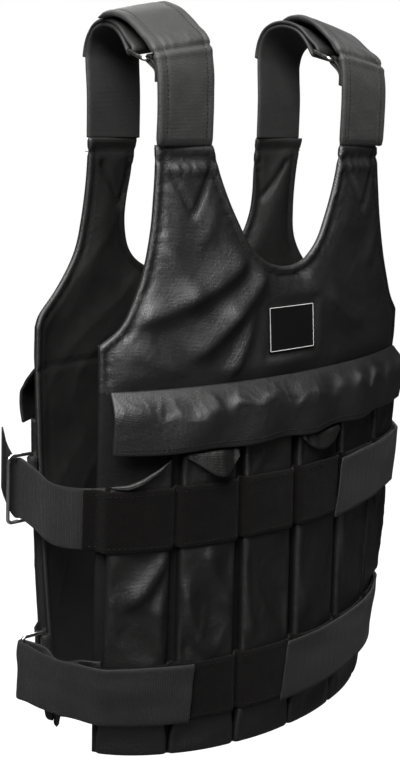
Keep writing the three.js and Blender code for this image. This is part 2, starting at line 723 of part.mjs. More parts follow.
// Strap from the back bib's top over the crown, round the ring's rear bar and back again
function addShoulderStrap(name, hand) {
  const s = BACK_STRAP_X;
  const [, rootY] = onBody(BACK, s, BIB_HEIGHT, -PANEL_THICK / 2);
  const rearBar = { y: ARCH_CENTRE.y - ARCH_RADIUS - BAR_WRAP, z: ARCH_CENTRE.z };
  const stations = [
    { y: rootY, z: BIB_HEIGHT + CLEARANCE },
    { y: mix(rootY, ARCH_CENTRE.y + ARCH_RADIUS, 0.5), z: mix(BIB_HEIGHT, ARCH_CENTRE.z, 0.5) },
    ...archArc(ARCH_CENTRE, ARCH_RADIUS, 0, 180, 9),
    ...archArc(rearBar, BAR_WRAP, -30, -150, 3),
    ...archArc(ARCH_CENTRE, RETURN_RADIUS, 180, FREE_END_ANGLE, 10),
  ];
  const span = rootY - rearBar.y;
  const middleAt = (y) => hand * mix(FRONT_STRAP_X, BACK_STRAP_X, (y - rearBar.y) / span);
  const half = STRAP_THICK / 2;
  addPiece(name, archSolid(stations, STRAP_WIDTH, half, -half, middleAt), MATERIALS.webbing);
}

function shoulderRingPlace() {
  const rear = new THREE.Vector3(0, ARCH_CENTRE.y - ARCH_RADIUS - BAR_WRAP, ARCH_CENTRE.z);
  const direction = new THREE.Vector3(0, -0.97, -0.24).normalize();
  const front = rear.clone().addScaledVector(direction, RING_WIDTH - WIRE_DIAMETER);
  return { rear, front, direction };
}

function addShoulderRing(name, hand) {
  const { rear, front, direction } = shoulderRingPlace();
  const centre = rear.clone().add(front).multiplyScalar(0.5);
  centre.x = hand * FRONT_STRAP_X;
  const halfUp = (STRAP_WIDTH + RING_SLACK + WIRE_DIAMETER) / 2;
  addRing(name, centre, direction, new THREE.Vector3(1, 0, 0), (RING_WIDTH - WIRE_DIAMETER) / 2, halfUp);
}

// Webbing tab sewn under the pad and folded round the shoulder ring's front bar
function addPadTab(name, hand) {
  const { front } = shoulderRingPlace();
  const radius = WIRE_DIAMETER / 2 + BAR_CLEARANCE + WEBBING_THICK / 2;
  const firstOff = CLEARANCE + WEBBING_THICK / 2;
  const secondOff = firstOff + WEBBING_THICK + CLEARANCE;
  const padFace = (rise) => ARCH_HALF_DEPTH * lookUp(PAD_LINE, 'rise', 'depth', rise);
  const padInside = (z, off) => {
    const rise = (z - BIB_HEIGHT) / SHOULDER_RISE;
    const step = 0.05;
    const y = padFace(rise);
    const slope = (padFace(rise + step) - y) / (step * SHOULDER_RISE);
    const norm = Math.hypot(1, slope);
    return { y: y + (PAD_THICK + off) / norm, z: z - ((PAD_THICK + off) * slope) / norm };
  };
  const top = front.z - radius;
  const stations = [
    padInside(top - PAD_TAB_LENGTH, firstOff),
    padInside(top - PAD_TAB_LENGTH / 2, firstOff),
    ...archArc(front, radius, 200, -40, 7),
    padInside(top - PAD_TAB_LENGTH / 2, secondOff),
    padInside(top - PAD_TAB_LENGTH, secondOff),
  ];
  const half = WEBBING_THICK / 2;
  const solid = archSolid(stations, WEBBING_WIDTH, half, -half, () => hand * FRONT_STRAP_X);
  addPiece(name, solid, MATERIALS.webbing);
}

// Bare patch sewn on the front bib
function addLabel(name) {
  const columns = 5;
  const rows = 4;
  const pointAt = (row, column, face) => {
    const s = LABEL_WIDTH * (column / (columns - 1) - 0.5);
    const z = LABEL_MID + LABEL_HEIGHT * (row / (rows - 1) - 0.5);
    const off = panelFace(FRONT, s, z) + 2 * CLEARANCE + (face ? LABEL_THICK : 0);
    return onBody(FRONT, s, z, off);
  };
  addPiece(name, clothSolid([{ rows, columns, pointAt }]), MATERIALS.label);
}

addPanel('front_panel', FRONT_PANEL);
addPanel('back_panel', BACK_PANEL);
for (let pocket = 0; pocket < POCKETS; pocket += 1) {
  addPocket(`front_pocket_${pocket + 1}`, FRONT, pocket, FRONT_MOUTHS[pocket]);
  addPocket(`back_pocket_${pocket + 1}`, BACK, pocket, PLAIN_MOUTH);
}
for (const [word, side] of [['front', FRONT], ['back', BACK]]) {
  addFlap(`${word}_flap`, side);
  addBand(`${word}_upper_band`, side, UPPER_BAND_MID);
  addBand(`${word}_lower_band`, side, LOWER_BAND_MID);
}
const LEVELS = [
  { level: 'upper', middle: UPPER_BAND_MID, lift: UPPER_RING_LIFT },
  { level: 'lower', middle: LOWER_BAND_MID, lift: LOWER_RING_LIFT },
];
for (const [word, hand] of [['right', RIGHT], ['left', LEFT]]) {
  for (const { level, middle, lift } of LEVELS) {
    addSideRing(`${level}_${word}_ring`, hand, middle + lift);
    addRingTab(`${level}_${word}_ring_tab`, hand, middle + lift);
  }
  addShoulderPad(`${word}_shoulder_pad`, hand);
  addShoulderStrap(`${word}_shoulder_strap`, hand);
  addShoulderRing(`${word}_shoulder_ring`, hand);
  addPadTab(`${word}_shoulder_ring_tab`, hand);
}
addLooseStrap('upper_right_strap', RIGHT, UPPER_BAND_MID, UPPER_RING_LIFT);
addFoldedStrap('lower_right_strap', RIGHT, LOWER_BAND_MID, LOWER_RING_LIFT, LOWER_RIGHT_END, 0);
addFoldedStrap('upper_left_strap', LEFT, UPPER_BAND_MID, UPPER_RING_LIFT, UPPER_LEFT_END, FREE_END_STAND);
addFoldedStrap('lower_left_strap', LEFT, LOWER_BAND_MID, LOWER_RING_LIFT, LOWER_LEFT_END, 0);
addLabel('label_patch');

// The origin lies level with the undersides of the shoulder straps
vest.position.z = -(ARCH_CENTRE.z + ARCH_RADIUS - STRAP_THICK / 2);

export default vest;
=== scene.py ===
"""Weighted vest: padded panels, pocket rows under storm flaps, loop bands and straps, as it is worn."""
import math

import bmesh
import bpy
import numpy as np
from mathutils import Matrix, Vector
from mathutils.geometry import delaunay_2d_cdt


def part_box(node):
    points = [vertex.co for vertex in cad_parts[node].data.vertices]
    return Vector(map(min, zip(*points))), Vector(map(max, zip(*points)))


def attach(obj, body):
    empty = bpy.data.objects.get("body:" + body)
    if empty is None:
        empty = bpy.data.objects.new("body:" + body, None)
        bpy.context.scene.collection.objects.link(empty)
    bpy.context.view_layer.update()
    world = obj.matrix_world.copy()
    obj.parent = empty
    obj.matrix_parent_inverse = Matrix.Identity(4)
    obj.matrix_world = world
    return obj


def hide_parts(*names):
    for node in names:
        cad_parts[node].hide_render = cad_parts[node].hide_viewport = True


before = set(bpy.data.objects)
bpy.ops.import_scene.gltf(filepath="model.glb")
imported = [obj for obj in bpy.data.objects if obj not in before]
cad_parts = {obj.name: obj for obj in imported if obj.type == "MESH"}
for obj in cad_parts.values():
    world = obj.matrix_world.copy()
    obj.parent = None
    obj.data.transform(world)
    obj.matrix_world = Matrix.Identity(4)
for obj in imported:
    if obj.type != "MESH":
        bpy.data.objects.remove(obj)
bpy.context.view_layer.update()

# Sizes are in millimetres, with the hem at height 0; the frame is in metres
MM = 0.001
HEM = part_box("front_panel")[0].z / MM
FRONT, BACK = -1, 1
SIDE_NAMES = {FRONT: "front", BACK: "back"}
RIGHT, LEFT = -1, 1

# Body form
BIB_HEIGHT = 495.0
BODY_HALF_WIDTH = 224.0
BODY_HALF_DEPTH = 128.0
PANEL_HALF = 177.0
EDGE_MARGIN = 8.5
PANEL_THICK = 5.0
PANEL_ROUNDING = 3.0
EDGE_REACH = 0.05
CLEARANCE = 0.3
BAR_CLEARANCE = 0.6

# Bibs
FRONT_NECK_DROP = 96.0
BACK_NECK_DROP = 118.0
NECK_HALF = 73.0
ARM_OUTER = 127.0
ARMHOLE_DROP = 146.0

# Pockets and flaps
POCKETS = 6
POCKET_GAP = 8.0
POCKET_PITCH = (2 * (PANEL_HALF - EDGE_MARGIN) + POCKET_GAP) / POCKETS
POCKET_WIDTH = POCKET_PITCH - POCKET_GAP
POCKET_DEPTH = 9.5
POCKET_CLOTH = 1.2
POCKET_CORNER = 3.2
POCKET_BOTTOM = 3.0
FACE_RIM = 0.985
FACE_SWELL = 0.075
POCKET_TOP = 268.0
FLAP_TOP = 311.0
FLAP_DROP = 46.0
FLAP_HALF = PANEL_HALF - 9.0
FLAP_THICK = 2.6
FLAP_STAND = 15.0

# Bands, side straps and rings
WEBBING_WIDTH = 50.0
WEBBING_THICK = 1.6
BAND_THICK = 1.4
BAND_DIP = 6.4
BAND_TAIL = 10.0
UPPER_BAND_MID = 210.0
LOWER_BAND_MID = 61.0
UPPER_RING_LIFT = 6.0
LOWER_RING_LIFT = 1.0
UPPER = ("upper", UPPER_BAND_MID, UPPER_RING_LIFT)
LOWER = ("lower", LOWER_BAND_MID, LOWER_RING_LIFT)
WIRE_DIAMETER = 3.0
RING_WIDTH = 25.0
RING_SLACK = 3.0
RING_CORNER = 3.5
RING_STANDOFF = 5.0
UPPER_LEFT_END = 44.0
LOWER_LEFT_END = -14.0
LOWER_RIGHT_END = -100.0
TAIL_REACH = 3.0
TAIL_RISE = 27.0
STRAP_EASE = 2.1
LEFT_END_SLANT = 0.16
RIGHT_END_SLANT = -0.05
UPPER_END_STAND = 5.0
LOWER_END_STAND = 1.5
RIB_PITCH = 2.0
RIB_DEPTH = 0.35

# Shoulders
SHOULDER_RISE = 105.0
ARCH_HALF_DEPTH = 49.0
PAD_WIDTH = 55.0
PAD_THICK = 5.0
FRONT_STRAP_X = 101.0
BACK_STRAP_X = 95.0
STRAP_WIDTH = 52.0
STRAP_THICK = 3.0
SHOULDER_SLOPE = 0.2
LAYER_GAP = 0.5
PAD_TAB_LENGTH = 14.0
RETURN_LENGTH = 84.0
STRAP_STEP = 0.7
PAD_SEAM = 71.0
CROWN = BIB_HEIGHT + SHOULDER_RISE
STRAP_WRAP = WIRE_DIAMETER / 2 + BAR_CLEARANCE + STRAP_THICK / 2
WEBBING_WRAP = WIRE_DIAMETER / 2 + BAR_CLEARANCE + WEBBING_THICK / 2

# Label and sewing
LABEL_WIDTH = 52.0
LABEL_HEIGHT = 37.0
LABEL_MID = 350.0
LABEL_THICK = 0.8
LABEL_LIFT = 2.2 * CLEARANCE
BORDER_INSET = 1.0
SEAM_INSET = 6.5
TOP_SEAM = 11.0
STITCH_PITCH = 3.4
STITCH_LENGTH = 2.5
STITCH_RADIUS = 0.3
CELL = 3.2

# Level sections of the body: height, half width, half depth and shift out from the middle, as
# shares of BIB_HEIGHT, BODY_HALF_WIDTH and, for the last two, BODY_HALF_DEPTH
BODY_SECTIONS = [
    (0.0, 0.786, 0.94, -0.219), (0.628, 1.0, 0.703, -0.109), (0.727, 1.0, 0.625, -0.07),
    (1.0, 1.0, 0.391, 0.031), (1.131, 1.0, 0.344, -0.016),
]

# Armhole edges: drop as a share of ARMHOLE_DROP, and share of the way from ARM_OUTER to PANEL_HALF
FRONT_ARMHOLE = [
    (0.0, 0.0), (0.12, 0.01), (0.26, 0.05), (0.44, 0.12), (0.65, 0.27), (0.83, 0.49), (0.925, 0.66),
    (1.0, 0.92),
]
BACK_ARMHOLE = [
    (0.0, -0.06), (0.12, -0.1), (0.28, -0.1), (0.45, -0.06), (0.6, 0.02), (0.72, 0.2), (0.84, 0.5),
    (0.945, 0.88),
]

# Necklines: drop as a share of the whole neck drop, half width as a share of NECK_HALF
FRONT_NECKLINE = [
    (0.0, 1.0), (0.21, 0.93), (0.42, 0.82), (0.6, 0.7), (0.78, 0.56), (0.9, 0.4), (0.97, 0.24),
]
BACK_NECKLINE = [
    (0.0, 0.95), (0.21, 0.98), (0.42, 1.02), (0.6, 1.01), (0.78, 0.91), (0.9, 0.7), (0.97, 0.4),
]

# Folds of the front bib: across and up of both ends, rise, and half widths above and below
BIB_FOLDS = [
    (-50, 410, -104, 379, 8.5, 19, 8),
    (-98, 382, -148, 366, 6.5, 15, 8),
    (-28, 400, -66, 361, 7.0, 12, 7),
    (-60, 367, -99, 336, 6.0, 12, 7),
    (-43, 360, -66, 318, 4.2, 7, 5),
    (18, 395, 50, 366, 4.2, 9, 5),
    (46, 368, 90, 344, 3.6, 9, 5),
    (-130, 445, -108, 398, 2.6, 9, 8),
    (-75, 455, -92, 420, 1.8, 7, 7),
    (124, 440, 104, 396, 2.6, 9, 8),
    (118, 396, 158, 350, 2.6, 9, 7),
    (-160, 352, -112, 324, 2.2, 8, 6),
]

# Folds of the pocket faces: the pocket, counted from the wearer's right, then as above
FRONT_POCKET_FOLDS = [
    (0, -122, 180, -154, 138, 3.4, 8, 6),
    (0, -166, 182, -160, 120, 2.2, 6, 6),
    (0, -124, 150, -123, 92, 2.4, 5, 5),
    (1, -110, 152, -84, 90, 3.6, 8, 7),
    (1, -88, 182, -66, 126, 2.6, 9, 6),
    (2, -50, 178, -46, 100, 1.6, 5, 5),
    (3, 8, 180, 14, 110, 1.6, 5, 5),
    (4, 66, 182, 80, 100, 2.0, 7, 6),
    (5, 124, 182, 150, 96, 3.4, 7, 6),
    (5, 162, 184, 152, 110, 2.6, 6, 6),
]

# V-shaped stitching under the arms' tops, for the wearer's left: the points along the cloth
FRONT_VEE = [(120, 484), (97, 442), (75, 484)]
BACK_VEE = [(107, 474), (84, 439), (74, 472)]

# Pocket mouths, from the wearer's right: shares of POCKET_TOP across the mouth, its gape, the
# length of the rim that is folded out, and to which side that is longer
FRONT_MOUTHS = [
    dict(line=[0.888, 0.892, 0.91, 0.935, 0.963], gape=6.0, lip=2.4, lean=-0.9),
    dict(line=[0.968, 0.972, 0.972, 0.97, 0.968], gape=1.5, lip=24.0, lean=0.9),
    dict(line=[1.0, 1.0, 1.0, 1.0, 1.0], gape=0.0, lip=1.0, lean=0.0),
    dict(line=[0.97, 0.97, 0.97, 0.972, 0.976], gape=1.5, lip=17.0, lean=-0.5),
    dict(line=[1.0, 1.0, 1.0, 1.0, 1.0], gape=0.0, lip=1.0, lean=0.0),
    dict(line=[1.0, 0.99, 0.985, 0.99, 1.0], gape=1.0, lip=1.0, lean=0.0),
]
PLAIN_MOUTH = dict(line=[1.0, 0.99, 0.985, 0.99, 1.0], gape=1.0, lip=1.0, lean=0.0)

# Foot of a pocket: height above POCKET_BOTTOM, and share of its whole depth there
POCKET_FOOT = [(0, 0.04), (0.1, 0.5), (0.7, 0.8), (2.0, 0.93), (4.0, 0.985), (7.0, 1.0)]
POCKET_ROW = 3.5
MOUTH_ROWS = 11

# Down a flap: share of FLAP_DROP, and how far it stands out as a share of FLAP_STAND
FLAP_SECTION = [
    (0.0, 0.13), (0.05, 0.3), (0.16, 0.62), (0.3, 0.94), (0.4, 1.04), (0.7, 1.04), (1.0, 0.96),
]

# Outer line of a shoulder pad: share of ARCH_HALF_DEPTH to the rear, share of SHOULDER_RISE up
PAD_LINE = [
    (-1.03, 0.0), (-1.03, 0.19), (-1.02, 0.333), (-1.0, 0.476), (-0.96, 0.581), (-0.878, 0.681),
    (-0.735, 0.757), (-0.571, 0.81), (-0.367, 0.876), (-0.122, 0.938), (0.163, 0.972), (0.388, 0.97),
    (0.571, 0.947),
]

# Middle of a shoulder strap's lower layer, from above its root to the ring, in the same shares
STRAP_LINE = [
    (0.969, 0.314), (1.02, 0.543), (1.03, 0.648), (0.969, 0.752), (0.827, 0.829), (0.612, 0.865),
    (0.367, 0.862), (0.163, 0.829), (0.0, 0.767), (-0.163, 0.671),
]

# Free run of a side strap to its ring and back: share of the way from the front panel to the
# back panel, then how far it stands out and sags as shares of WEBBING_WIDTH
STRAP_RUN = [
    (0.32, 0.22, 0.12), (0.55, 0.26, 0.16), (0.78, 0.27, 0.08),
]
RETURN_RUN = [
    (0.84, 0.55, 0.0), (0.6, 0.5, 0.02), (0.3, 0.4, 0.02), (0.05, 0.27, 0.0),
]


# Number helpers
def columns_of(table):
    return np.array(table, float).T


def unit(vectors):
    """Vectors of length 1 in the same directions."""
    return vectors / (np.linalg.norm(vectors, axis=-1, keepdims=True) + 1e-12)


def arc(centre, radius, start, end, steps):
    """Points of a circle in a plane, from one angle to another in degrees."""
    angles = np.radians(np.linspace(start, end, steps + 1))
    return [(centre[0] + radius * math.cos(a), centre[1] + radius * math.sin(a)) for a in angles]


def mix(a, b, share):
    return a + (b - a) * share


def smoothstep(low, high, value):
    t = np.clip((value - low) / (high - low), 0, 1)
    return t * t * (3 - 2 * t)


def bell(offset, width):
    return np.exp(-((offset / width) ** 2))


def waves(a, b, scale, seed, stretch=1.0, tilt=0.0):
    """Smooth random field of about -1 to 1, with bumps of the given size, longer along the tilt."""
    rng = np.random.default_rng(seed)
    count = 12
    turn = math.radians(tilt)
    along = (a * math.cos(turn) + b * math.sin(turn)) / stretch
    across = -a * math.sin(turn) + b * math.cos(turn)
    field = 0.0
    for _ in range(count):
        heading = rng.uniform(0, 2 * math.pi)
        pitch = scale * rng.uniform(0.7, 1.6)
        phase = rng.uniform(0, 2 * math.pi)
        way = along * math.cos(heading) + across * math.sin(heading)
        field = field + np.sin(2 * math.pi * way / pitch + phase)
    return field / count ** 0.5


def creases(a, b, scale, seed, stretch=1.0, tilt=0.0):
    """Random field of 0 to 1 with sharp ridges, as in crumpled cloth."""
    field = waves(a, b, scale, seed, stretch, tilt)
    return np.exp(-(np.abs(field) / 0.35) ** 1.2)


def lengths_along(points):
    """How far along a line each of its points lies."""
    steps = np.linalg.norm(np.diff(np.asarray(points, float), axis=0), axis=1)
    return np.concatenate([[0], np.cumsum(steps)])


def resample(points, count):
    """The given number of points, evenly along a line of straight pieces."""
    points = np.asarray(points, float)
    along = lengths_along(points)
    wanted = np.linspace(0, along[-1], count)
    return np.stack([np.interp(wanted, along, points[:, k]) for k in range(points.shape[1])], 1)


def curved(points, count):
    """The given number of points, evenly along a smooth curve through the given ones."""
    points = np.asarray(points, float)
    padded = np.vstack([2 * points[0] - points[1], points, 2 * points[-1] - points[-2]])
    t = np.linspace(0, 1, 17)[:-1, None]
    pieces = []
    for p0, p1, p2, p3 in zip(padded, padded[1:], padded[2:], padded[3:]):
        bend = 2 * p0 - 5 * p1 + 4 * p2 - p3
        twist = -p0 + 3 * p1 - 3 * p2 + p3
        pieces.append(0.5 * (2 * p1 + (p2 - p0) * t + bend * t ** 2 + twist * t ** 3))
    pieces.append(points[-1:])
    return resample(np.vstack(pieces), count)


def spaced(points, step, smooth=True):
    """Points about one step apart, along a smooth curve or along straight pieces."""
    count = max(2, int(round(lengths_along(points)[-1] / step)) + 1)
    return curved(points, count) if smooth else resample(points, count)


def line_reach(s, z, line):
    """Distance of each place to a line of straight pieces on the cloth."""
    best = np.full(np.shape(s), 1e9)
    for (a, b), (c, d) in zip(line[:-1], line[1:]):
        length2 = (c - a) ** 2 + (d - b) ** 2
        share = np.clip(((s - a) * (c - a) + (z - b) * (d - b)) / length2, 0, 1)
        best = np.minimum(best, np.hypot(s - mix(a, c, share), z - mix(b, d, share)))
    return best


# The body's surface
SECTION_STEP = 5.0
SECTION_HEIGHTS = np.arange(-30.0, 640.0, SECTION_STEP)
SECTION_ARCS = np.arange(0.0, 281.0, 1.0)
SECTION_BLUR = 9


def body_tables():
    """Half width, half depth and shift at each height, and the angle at each length of cloth."""
    heights, *shares = columns_of(BODY_SECTIONS)
    kernel = np.ones(SECTION_BLUR) / SECTION_BLUR
    result = []
    for share, size in zip(shares, (BODY_HALF_WIDTH, BODY_HALF_DEPTH, BODY_HALF_DEPTH)):
        values = np.interp(SECTION_HEIGHTS / BIB_HEIGHT, heights, share) * size
        ends = np.pad(values, SECTION_BLUR // 2, "edge")
        result.append(np.convolve(ends, kernel, "valid"))
    angles = np.linspace(0, 0.66 * math.pi, 300)
    table = []
    for width, depth in zip(result[0], result[1]):
        section = np.stack([width * np.sin(angles), depth * np.cos(angles)], 1)
        table.append(np.interp(SECTION_ARCS, lengths_along(section), angles))
    return result + [np.array(table)]


WIDTHS, DEPTHS, SHIFTS, ANGLES = body_tables()


def on_body(side, s, z, off):
    """Points of a panel's surface: s along the cloth from the middle, off stands out from it."""
    s, z, off = np.broadcast_arrays(np.asarray(s, float), np.asarray(z, float), np.asarray(off, float))
    place = np.clip((z - SECTION_HEIGHTS[0]) / SECTION_STEP, 0, len(SECTION_HEIGHTS) - 1.001)
    row = place.astype(int)
    up = place - row
    reach = np.clip(np.abs(s), 0, SECTION_ARCS[-1] - 0.001)
    step = reach.astype(int)
    over = reach - step
    lower = mix(ANGLES[row, step], ANGLES[row, step + 1], over)
    upper = mix(ANGLES[row + 1, step], ANGLES[row + 1, step + 1], over)
    angle = np.sign(s) * mix(lower, upper, up)
    width = mix(WIDTHS[row], WIDTHS[row + 1], up)
    depth = mix(DEPTHS[row], DEPTHS[row + 1], up)
    shift = mix(SHIFTS[row], SHIFTS[row + 1], up)
    nx = np.sin(angle) / width
    ny = np.cos(angle) / depth
    norm = np.hypot(nx, ny)
    x = width * np.sin(angle) + off * nx / norm
    y = side * (shift + depth * np.cos(angle) + off * ny / norm)
    return np.stack([x, y, z], -1)


# Materials
def plug(tree, socket, value):
    if isinstance(value, bpy.types.NodeSocket):
        tree.links.new(value, socket)
    else:
        socket.default_value = value


def shader_node(tree, kind, **inputs):
    node = tree.nodes.new(kind)
    for name, value in inputs.items():
        plug(tree, node.inputs[name.replace("_", " ")], value)
    return node


def math_node(tree, operation, a, b):
    node = tree.nodes.new("ShaderNodeMath")
    node.operation = operation
    plug(tree, node.inputs[0], a)
    plug(tree, node.inputs[1], b)
    return node.outputs[0]


def new_material(name):
    material = bpy.data.materials.new(name)
    material.use_nodes = True
    return material, material.node_tree, material.node_tree.nodes["Principled BSDF"].inputs


def ramp(tree, factor, low, high, dark, light):
    node = tree.nodes.new("ShaderNodeValToRGB")
    node.color_ramp.elements[0].position = low
    node.color_ramp.elements[1].position = high
    node.color_ramp.elements[0].color = (*dark, 1)
    node.color_ramp.elements[1].color = (*light, 1)
    tree.links.new(factor, node.inputs[0])
    return node.outputs[0]


# Spacing of a wave pattern's bands at scale 1, in metres
WAVE_SPACING = 0.314


def noise(tree, vector, scale, detail, roughness=0.5):
    kind = "ShaderNodeTexNoise"
    return shader_node(tree, kind, Vector=vector, Scale=scale, Detail=detail, Roughness=roughness).outputs[0]


def bump(tree, strength, distance, height, **under):
    kind = "ShaderNodeBump"
    return shader_node(tree, kind, Strength=strength, Distance=distance, Height=height, **under).outputs[0]


def weave_height(tree, vector, pitch):
    """Over-and-under threads of a plain weave, as a height of 0 to 1."""
    heights = []
    for direction in ("X", "Y"):
        wave = shader_node(tree, "ShaderNodeTexWave", Vector=vector, Scale=WAVE_SPACING / pitch)
        wave.inputs["Distortion"].default_value = 0.6
        wave.inputs["Detail"].default_value = 1.0
        wave.bands_direction = direction
        heights.append(wave.outputs["Fac"])
    return math_node(tree, "MULTIPLY", heights[0], heights[1])


def cloth_material(
    name, dark, light, roughness, weave=0.0010, weave_depth=0.0003, crinkle=110.0, crinkle_depth=0.0004,
    sheen=0.0, gloss=0.5
):
    """Woven cloth: a weave, small crinkles, and colour and roughness that vary over it."""
    material, tree, shader = new_material(name)
    flat = tree.nodes.new("ShaderNodeUVMap").outputs[0]
    threads = weave_height(tree, flat, weave)
    cloud = noise(tree, flat, 22.0, 5.0, 0.6)
    grain = noise(tree, flat, 900.0, 2.0)
    tone = math_node(tree, "MULTIPLY", cloud, 0.55)
    tone = math_node(tree, "ADD", tone, math_node(tree, "MULTIPLY", grain, 0.25))
    tone = math_node(tree, "ADD", tone, math_node(tree, "MULTIPLY", threads, 0.3))
    plug(tree, shader["Base Color"], ramp(tree, tone, 0.3, 0.75, dark, light))
    low, high = roughness
    span = math_node(tree, "MULTIPLY", cloud, high - low)
    plug(tree, shader["Roughness"], math_node(tree, "ADD", span, low))
    shader["Sheen Weight"].default_value = sheen
    shader["Sheen Roughness"].default_value = 0.45
    shader["Specular IOR Level"].default_value = gloss
    soft = bump(tree, 1.0, crinkle_depth, noise(tree, flat, crinkle, 3.0, 0.55))
    surface = math_node(tree, "ADD", math_node(tree, "MULTIPLY", threads, 0.6), grain)
    plug(tree, shader["Normal"], bump(tree, 1.0, weave_depth, surface, Normal=soft))
    return material


def metal_material():
    material, tree, shader = new_material("nickel_wire")
    place = tree.nodes.new("ShaderNodeTexCoord").outputs["Object"]
    smear = noise(tree, place, 240.0, 4.0)
    dull = math_node(tree, "ADD", math_node(tree, "MULTIPLY", smear, 0.2), 0.14)
    plug(tree, shader["Base Color"], ramp(tree, smear, 0.3, 0.7, (0.50, 0.49, 0.47), (0.78, 0.78, 0.76)))
    shader["Metallic"].default_value = 1.0
    plug(tree, shader["Roughness"], dull)
    plug(tree, shader["Normal"], bump(tree, 0.5, 0.00004, noise(tree, place, 1500.0, 2.0)))
    return material


NYLON = cloth_material(
    "coated_nylon", dark=(0.002, 0.0019, 0.0019), light=(0.010, 0.0096, 0.0092), roughness=(0.42, 0.56),
    weave_depth=0.00024, crinkle_depth=0.0006, gloss=0.7
)
# The pocket cloth is the coated nylon made darker: painted shade for the upright pocket faces, which catch
# less light from above than the bib
SHADED_POCKET_NYLON = cloth_material(
    "pocket_nylon_painted_shade", dark=(0.0016, 0.0014, 0.0013), light=(0.0075, 0.0068, 0.0064), roughness=(0.42, 0.56),
    weave_depth=0.00024, crinkle_depth=0.0006
)
# The lining's own dark nylon, made lighter: partly its own colour, partly painted light for the light that
# reaches the panels' inner faces
LINING_WITH_PAINTED_LIGHT = cloth_material(
    "lining_nylon_with_painted_light", dark=(0.006, 0.0056, 0.0054), light=(0.020, 0.0188, 0.0180), roughness=(0.48, 0.6),
    weave_depth=0.0002, crinkle=90.0, crinkle_depth=0.0005, gloss=0.6
)
# A darker copy of the nylon for the panels' outer faces below the flaps: painted shade under the flaps and
# pockets, not a separate fabric
PAINTED_SHADE_NYLON = cloth_material(
    "painted_shade_nylon", dark=(0.0015, 0.0014, 0.0014), light=(0.0055, 0.0052, 0.0050), roughness=(0.6, 0.75),
    weave_depth=0.0002, crinkle=90.0, crinkle_depth=0.0005, gloss=0.3
)
PAD_CLOTH = cloth_material(
    "ribbed_pad_cloth", dark=(0.012, 0.012, 0.0117), light=(0.034, 0.0335, 0.032), roughness=(0.5, 0.68),
    crinkle=120.0, sheen=0.12
)
LOOP = cloth_material(
    "loop_pile", dark=(0.002, 0.0017, 0.0016), light=(0.0055, 0.0045, 0.0042), roughness=(0.9, 1.0),
    weave=0.0012, weave_depth=0.0004, crinkle=900.0, crinkle_depth=0.0006, sheen=0.04, gloss=0.1
)
WEBBING = cloth_material(
    "ribbed_webbing", dark=(0.003, 0.003, 0.003), light=(0.011, 0.0107, 0.0107), roughness=(0.55, 0.75),
    crinkle=200.0, sheen=0.08, gloss=0.35
)
STRAP_CLOTH = cloth_material(
    "shoulder_webbing", dark=(0.008, 0.0078, 0.0076), light=(0.026, 0.0252, 0.0245), roughness=(0.5, 0.65),
    crinkle=120.0, sheen=0.08
)
THREAD = cloth_material(
    "sewing_thread", dark=(0.003, 0.003, 0.003), light=(0.010, 0.0095, 0.0095), roughness=(0.6, 0.8),
    weave=0.0004, weave_depth=0.0001, crinkle=900.0, crinkle_depth=0.0001, gloss=0.3
)
LABEL = cloth_material(
    "label_cloth", dark=(0.001, 0.001, 0.001), light=(0.003, 0.003, 0.003), roughness=(0.7, 0.85),
    weave=0.0008, weave_depth=0.0001, crinkle=500.0, crinkle_depth=0.0001, gloss=0.15
)
BORDER = cloth_material(
    "pale_thread", dark=(0.35, 0.35, 0.34), light=(0.62, 0.61, 0.60), roughness=(0.6, 0.8),
    weave=0.0004, weave_depth=0.0001, crinkle=900.0, crinkle_depth=0.0001
)
NICKEL = metal_material()


# Mesh helpers
def add_object(name, data):
    thing = bpy.data.objects.new(name, data)
    bpy.context.scene.collection.objects.link(thing)
    return thing


def make_piece(name, points, faces, material, flat=None):
    """A piece from points in millimetres; flat gives each point its place on the uncut cloth."""
    mesh = bpy.data.meshes.new(name)
    points = (np.asarray(points, float) + (0, 0, HEM)) * MM
    mesh.from_pydata(points.tolist(), [], faces)
    shape = bmesh.new()
    shape.from_mesh(mesh)
    bmesh.ops.recalc_face_normals(shape, faces=shape.faces)
    shape.to_mesh(mesh)
    shape.free()
    mesh.polygons.foreach_set("use_smooth", np.ones(len(mesh.polygons), bool))
    if flat is not None:
        layer = mesh.uv_layers.new(name="flat")
        corner = np.zeros(len(mesh.loops), int)
        mesh.loops.foreach_get("vertex_index", corner)
        layer.data.foreach_set("uv", (np.asarray(flat, float)[corner] * MM).ravel())
    mesh.materials.append(material)
    piece = add_object(name, mesh)
    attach(piece, "root")
    return piece


def grid_lengths(grid):
    """Mean distances along a grid's columns and rows, from its first ones."""
    across = np.linalg.norm(np.diff(grid, axis=1), axis=2).mean(0)
    down = np.linalg.norm(np.diff(grid, axis=0), axis=2).mean(1)
    return np.concatenate([[0], np.cumsum(across)]), np.concatenate([[0], np.cumsum(down)])


def grid_normals(grid):
    return unit(np.cross(np.gradient(grid, axis=1), np.gradient(grid, axis=0)))


# How far a sheet's rim rounds out, as a share of half its thickness
RIM_BULGE = 0.9


